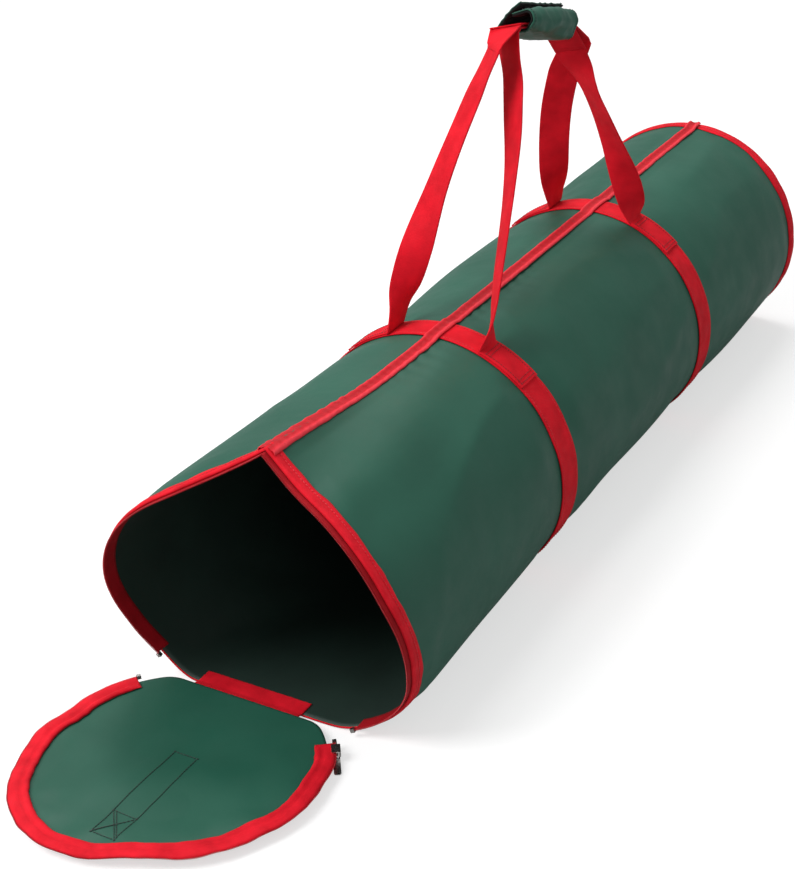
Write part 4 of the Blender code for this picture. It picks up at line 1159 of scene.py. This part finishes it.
def far_section(along, setback=0.0):
    """Outer face of the left handle's half, the same all along: from its tip to its root on the strap."""
    root = Vector(FLAP_ROOT)
    root = root + (Vector(FLAP_MIDDLE) - root).normalized() * setback
    return rounded_path([Vector(FLAP_TIP), Vector(FLAP_MIDDLE), root], FLAP_BEND, 16)


def resampled(path, count):
    """The same number of evenly spaced points along any 2D path."""
    lengths = run_lengths(path)
    made = []
    index = 0
    for place in evenly(0.0, lengths[-1], count):
        while index < len(path) - 2 and lengths[index + 1] < place:
            index += 1
        span = max(lengths[index + 1] - lengths[index], 1e-9)
        made.append(path[index].lerp(path[index + 1], min(max((place - lengths[index]) / span, 0.0), 1.0)))
    return made


def near_puff(place):
    """Where the near half swells: up its side and over its shoulder, not under the straps."""
    return smooth_step((place - 0.42) / 0.18) * smooth_step((1.0 - place) / 0.18)


def no_puff(place):
    return 0.0


def grip_lift(along, place, span, seed, puff):
    """Height of the diagonal folds and the swell of the grip cloth above its plain section."""
    bend = 0.8 * soft_noise(along * 30.0, place * 2.0, seed + 4.0)
    ridge = soft_noise(along * 46.0 + place * 3.4 + bend, place * 2.6 - along * 22.0, seed)
    crease = 0.0013 * (0.42 - abs(ridge) * 2.1) + 0.0009 * soft_noise(along * 90.0, place * 7.0, seed + 2.0)
    ends = smooth_step(min(along - span[0], span[1] - along) / 0.010)
    swell = 0.0030 * math.sin(math.pi * (along - span[0]) / (span[1] - span[0])) * puff(place)
    return (crease + 0.0004) * (0.35 + 0.65 * ends) + swell


def grip_place(across, along, rise):
    spot = hand_place(along, GRIP_RISE + rise)
    return Vector((across, spot.x, spot.y))


def grip_sheet(name, node, body, section, span, wall, material, depth=0.0, seed=5.0, hem=0.0, puff=None):
    """Cloth along the grip, depth inside its section; a puff makes it creased and raised, none flat."""
    count = 44
    rows = []
    for along in evenly(span[0], span[1], 56):
        path = offset_path(resampled(section(along), count), depth)
        edge = min(along - span[0], span[1] - along)
        row = []
        for index, (point, way) in enumerate(zip(path, ways_along(path))):
            if puff:
                lift = grip_lift(along, index / count, span, seed, puff)
                lift += hem * smooth_step((0.0045 - edge) / 0.0008)
                point = point + Vector((way.y, -way.x)) * max(lift, -0.0001)
            row.append(grip_place(point.x, along, point.y))
        rows.append(row)
    obj = grid_piece(name, rows, material, wall=wall)
    dress(obj, body, "green_coated" if material is GREEN else "black_lining", node)
    return obj


def strip_path(start, toward, distance):
    start, toward = Vector(start), Vector(toward)
    way = (toward - start).normalized()
    side = Vector((-way.y, way.x)) * distance
    return [start + way * STRIP_MARGIN + side, start + way * (STRIP_MARGIN + STRIP_WIDTH) + side]


# Body, section, span along the hand, seed of the folds, and swell of each half of the grip
NEAR_HALF = ("right_handle", near_section, (WRAP_FRONT, WRAP_REAR), 1.0, near_puff)
FAR_HALF = ("grip_side", far_section, (FLAP_FRONT, FLAP_REAR), 9.0, no_puff)


def grip_half(half, names, nodes, strip):
    """One half of the grip: its cloth, its lining and its fastening strip."""
    body, section, span, seed, puff = half
    cloth = grip_sheet(names[0], nodes[0], body, section, span, WRAP_THICKNESS, GREEN, 0.0, seed,
                       HEM_RISE, puff)
    grip_sheet(names[1], nodes[1], body, lambda along: section(along, LINING_SETBACK), span,
               LINING_THICKNESS, LINING, WRAP_THICKNESS + LAYER_GAP, seed, 0.0, puff)
    strip_span = (span[0] + STRIP_WIDTH, span[1] - STRIP_WIDTH)
    grip_sheet(names[2], nodes[2], body, lambda along: strip, strip_span, STRIP_THICKNESS, LINING)
    return cloth


def grip_pieces():
    """The two lined halves that close round the straps where the hand holds them."""
    loops = strip_path(WRAP_END, WRAP_SHOULDER, LAYER_GAP + STRIP_THICKNESS)[::-1]
    near = grip_half(NEAR_HALF, ("grip_wrap_cloth", "grip_wrap_lining", "grip_loop_fastener"),
                     ("grip_wrap", "grip_lining", "grip_loop_strip"), loops)
    hooks = strip_path(FLAP_TIP, FLAP_MIDDLE, WRAP_THICKNESS + LINING_THICKNESS + 2 * LAYER_GAP)
    far = grip_half(FAR_HALF, ("grip_flap_cloth", "grip_flap_lining_cloth", "grip_hook_fastener"),
                    ("grip_flap", "grip_flap_lining", "grip_hook_strip"), hooks)


# Stitching

# Turns between which a band's rows run, degrees of the rows across a strap end, and insets of the rows
BAND_ROWS = ((-0.80, -0.235), (-0.095, -0.024), (0.024, 0.095), (0.235, 0.80))
STRAP_END_ROWS = (40.6, 38.9, 24.5, 22.8)
WEBBING_ROW = 0.0035
MOUTH_ROW = 0.0076
REAR_ROW = 0.0072
FLAP_RIM_ROW = 0.0062
PULL_ROW = 0.0115
PULL_BOX = 0.0300


def root_stitching():
    """Rows on the seam tape, round the mouth and the closed end, and along both edges of the bands."""
    lines = []
    for share in (-0.62, 0.62):
        row = []
        for y in evenly(rim_y(0.0) + 0.004, REAR_Y - 0.002, 500):
            turn, height = tape_place(share, y)
            row.append(tube_point(turn, y, height + 0.0013 + max(relief(turn, y), 0.0) * 0.5))
        lines.append(row)
    places = [(turn, rim_y(turn) + MOUTH_ROW) for turn in evenly(-0.97, 0.97, 420)]
    lines.append([tube_point(turn, y, 0.0017 + relief(turn, y)) for turn, y in places])
    lines.append([tube_point(turn, REAR_Y - REAR_ROW, 0.0026) for turn in evenly(-0.70, 0.70, 300)])
    for middle in (0.0, REAR_BAND_Y):
        for side in (-1.0, 1.0):
            y = middle + side * (WEBBING_WIDTH / 2 - WEBBING_ROW)
            for start, end in BAND_ROWS:
                lines.append([tube_point(turn, y, BAND_TOP + 0.0002) for turn in evenly(start, end, 120)])
    dress(stitches("bag_stitching", lines, RED_THREAD), "root", "red_tape")


def strap_end_stitching():
    """Two double rows across each sewn strap end, and one along each edge."""
    lines = []
    half = HANDLE_WIDTH / 2 - WEBBING_ROW
    top = STRAP_END_TOP + 0.0003
    turns = [math.radians(degrees) / math.pi for degrees in STRAP_END_ROWS]
    for middle in (0.0, REAR_BAND_Y):
        for sign in (-1.0, 1.0):
            across = evenly(middle - half, middle + half, 10)
            lines += [[tube_point(sign * turn, y, top) for y in across] for turn in turns]
            edge = evenly(turns[-1], turns[0], 14)
            for y in (middle - half, middle + half):
                lines.append([tube_point(sign * turn, y, top) for turn in edge])
    obj = stitches("strap_end_stitching", lines, DARK_RED_THREAD, 0.0028, 0.0023, 0.00036)
    dress(obj, "root", "red_webbing")


def sewn_line(x0, y0, x1, y1):
    """A slightly wavy line of stitches on the flap, from one place to another."""
    top = FLAP_PANEL_Z + PANEL_THICKNESS + 0.0004
    return [flap_spot(x0 + (x1 - x0) * share + 0.0007 * soft_noise(share * 5.0, x0 * 90.0, 1.0),
                      y0 + (y1 - y0) * share, top) for share in evenly(0.0, 1.0, 40)]


def flap_stitching():
    """Dark rows of the flap's outer webbing, with a crossed box at its end, and the row round its rim."""
    low = FLAP_Y - PULL_STRAP_FRONT + 0.0015
    high = FLAP_Y - PULL_STRAP_FRONT + PULL_STRAP_LENGTH - 0.006
    box = low + PULL_BOX
    x0, x1 = FLAP_X - PULL_ROW, FLAP_X + PULL_ROW
    ends = ((x0, low, x0, high), (x1, low, x1, high), (x0, low, x1, low), (x0, high, x1, high),
            (x0, box, x1, box), (x0, low, x1, box), (x1, low, x0, box),
            (x0 + 0.001, low + 0.002, x1 - 0.002, box - 0.003), (x1, low + 0.003, x0 + 0.003, box))
    obj = stitches("flap_strap_stitching", [sewn_line(*places) for places in ends], DARK_THREAD,
                   0.0032, 0.0028, 0.00050)
    dress(obj, "flap", "green_coated")
    radius, height = FLAP_EDGE_RADIUS - FLAP_RIM_ROW, FLAP_TAPE_Z + ZIP_TAPE_THICKNESS + 0.0006
    row = [edge_spot(angle, radius + rim_wave(angle), height)
           for angle in evenly(-ZIP_HALF_SPAN + 0.02, ZIP_HALF_SPAN - 0.02, 400)]
    dress(stitches("flap_edge_stitching", [row], RED_THREAD), "flap", "red_tape")


def grip_stitching():
    """Hem rows along both ends of each half of the grip."""
    for name, (body, section, span, seed, puff), start, end in (
            ("grip_wrap_stitching", NEAR_HALF, 0.42, 0.97), ("grip_flap_stitching", FAR_HALF, 0.03, 0.9)):
        lines = []
        for along in (span[0] + HEM_ROW, span[1] - HEM_ROW):
            path = resampled(section(along), 60)
            ways = ways_along(path)
            row = []
            for index in range(int(60 * start), int(60 * end)):
                lift = grip_lift(along, index / 60, span, seed, puff) + 0.0006
                spot = path[index] + Vector((ways[index].y, -ways[index].x)) * max(lift, 0.0003)
                row.append(grip_place(spot.x, along, spot.y))
            lines.append(row)
        dress(stitches(name, lines, DARK_THREAD, 0.0030, 0.0024, 0.00030), body, "green_coated")


# Stage, light and camera

def floor_paper():
    """White paper, a little brighter to the camera than its own light makes it."""
    finish = Finish("studio_floor_paper", (0.46, 0.46, 0.46), 0.9, {SHINE: 0.0})
    seen = finish.math('MULTIPLY', (finish.nodes.new('ShaderNodeLightPath'), "Is Camera Ray"), 0.60)
    glow = finish.node('ShaderNodeEmission', seen, "Strength", {"Color": opaque((1.0, 1.0, 1.0))})
    both = finish.node('ShaderNodeAddShader', (finish.shader, 0), 0)
    finish.link((glow, 0), both, 1)
    finish.link((both, 0), finish.nodes["Material Output"], "Surface")
    return finish.material


def stage():
    mesh = bpy.data.meshes.new("studio_floor")
    size, low = 14.0, -0.0004
    corners = [(-size, -size, low), (size, -size, low), (size, size, low), (-size, size, low)]
    mesh.from_pydata(corners, [], [(0, 1, 2, 3)])
    mesh.materials.append(floor_paper())
    finish_object("studio_floor", mesh)
    world = bpy.data.worlds.new("studio_room")
    bpy.context.scene.world = world
    world.use_nodes = True
    tree = world.node_tree
    room = tree.nodes["Background"]
    room.inputs["Color"].default_value = opaque((1.0, 1.0, 1.0))
    path = tree.nodes.new('ShaderNodeLightPath')
    seen = tree.nodes.new('ShaderNodeMapRange')
    seen.inputs["To Min"].default_value = 0.42
    seen.inputs["To Max"].default_value = 1.0
    tree.links.new(path.outputs["Is Camera Ray"], seen.inputs["Value"])
    tree.links.new(seen.outputs["Result"], room.inputs["Strength"])


def lamp(name, place, target, size, energy):
    data = bpy.data.lights.new(name, 'AREA')
    data.shape = 'DISK'
    data.size = size
    data.energy = energy
    obj = finish_object(name, data)
    obj.location = place
    obj.rotation_euler = (Vector(target) - Vector(place)).to_track_quat('-Z', 'Y').to_euler()


def lights():
    lamp("soft_key", (-1.6, -1.8, 2.3), (0.0, 0.15, 0.15), 1.8, 84.0)
    lamp("soft_fill", (1.9, -1.9, 1.7), (0.0, 0.15, 0.15), 1.8, 13.0)
    lamp("soft_top", (-0.7, 1.1, 2.8), (0.0, 0.3, 0.1), 1.6, 44.0)


def camera():
    azimuth, tilt, roll = CAMERA_AZIMUTH, CAMERA_TILT, CAMERA_ROLL
    forward = Vector((-math.sin(azimuth) * math.cos(tilt), math.cos(azimuth) * math.cos(tilt),
                      -math.sin(tilt)))
    right = Vector((math.cos(azimuth), math.sin(azimuth), 0.0))
    up = right.cross(forward)
    turned = right * math.cos(roll) + up * math.sin(roll)
    upright = up * math.cos(roll) - right * math.sin(roll)
    matrix = Matrix((turned, upright, -forward)).transposed().to_4x4()
    matrix.translation = Vector(CAMERA_PLACE)
    data = bpy.data.cameras.new("photo_camera")
    data.lens = CAMERA_LENS
    data.sensor_width = 36.0
    data.clip_end = 60.0
    obj = finish_object("photo_camera", data)
    obj.matrix_world = matrix
    bpy.context.scene.camera = obj


def metal_parts():
    """The slider, its tab and the four stops keep their solids and get the plated finish."""
    stops = [half + "_zip_stop_" + side for half in ("mouth", "flap") for side in ("left", "right")]
    for node in ["zip_slider", "zip_pull_tab"] + stops:
        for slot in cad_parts[node].material_slots:
            slot.material = METAL


def build():
    webbing_band("front_webbing", 0.0, "front_band")
    webbing_band("rear_webbing", REAR_BAND_Y, "rear_band")
    bag_shell()
    rear_end()
    mouth_border()
    rear_piping()
    top_tape()
    mouth_zip()
    pull_webbing()
    flap_cloth()
    flap_borders()
    hinge_fabric()
    handle_strap("left", -1.0, {"front": LEFT_FRONT_TWIST, "rear": LEFT_REAR_TWIST})
    handle_strap("right", 1.0, {"front": RIGHT_FRONT_TWIST, "rear": RIGHT_REAR_TWIST})
    grip_pieces()
    root_stitching()
    strap_end_stitching()
    flap_stitching()
    grip_stitching()
    metal_parts()
    stage()
    lights()
    camera()


build()
bpy.context.scene.view_settings.view_transform = 'Standard'
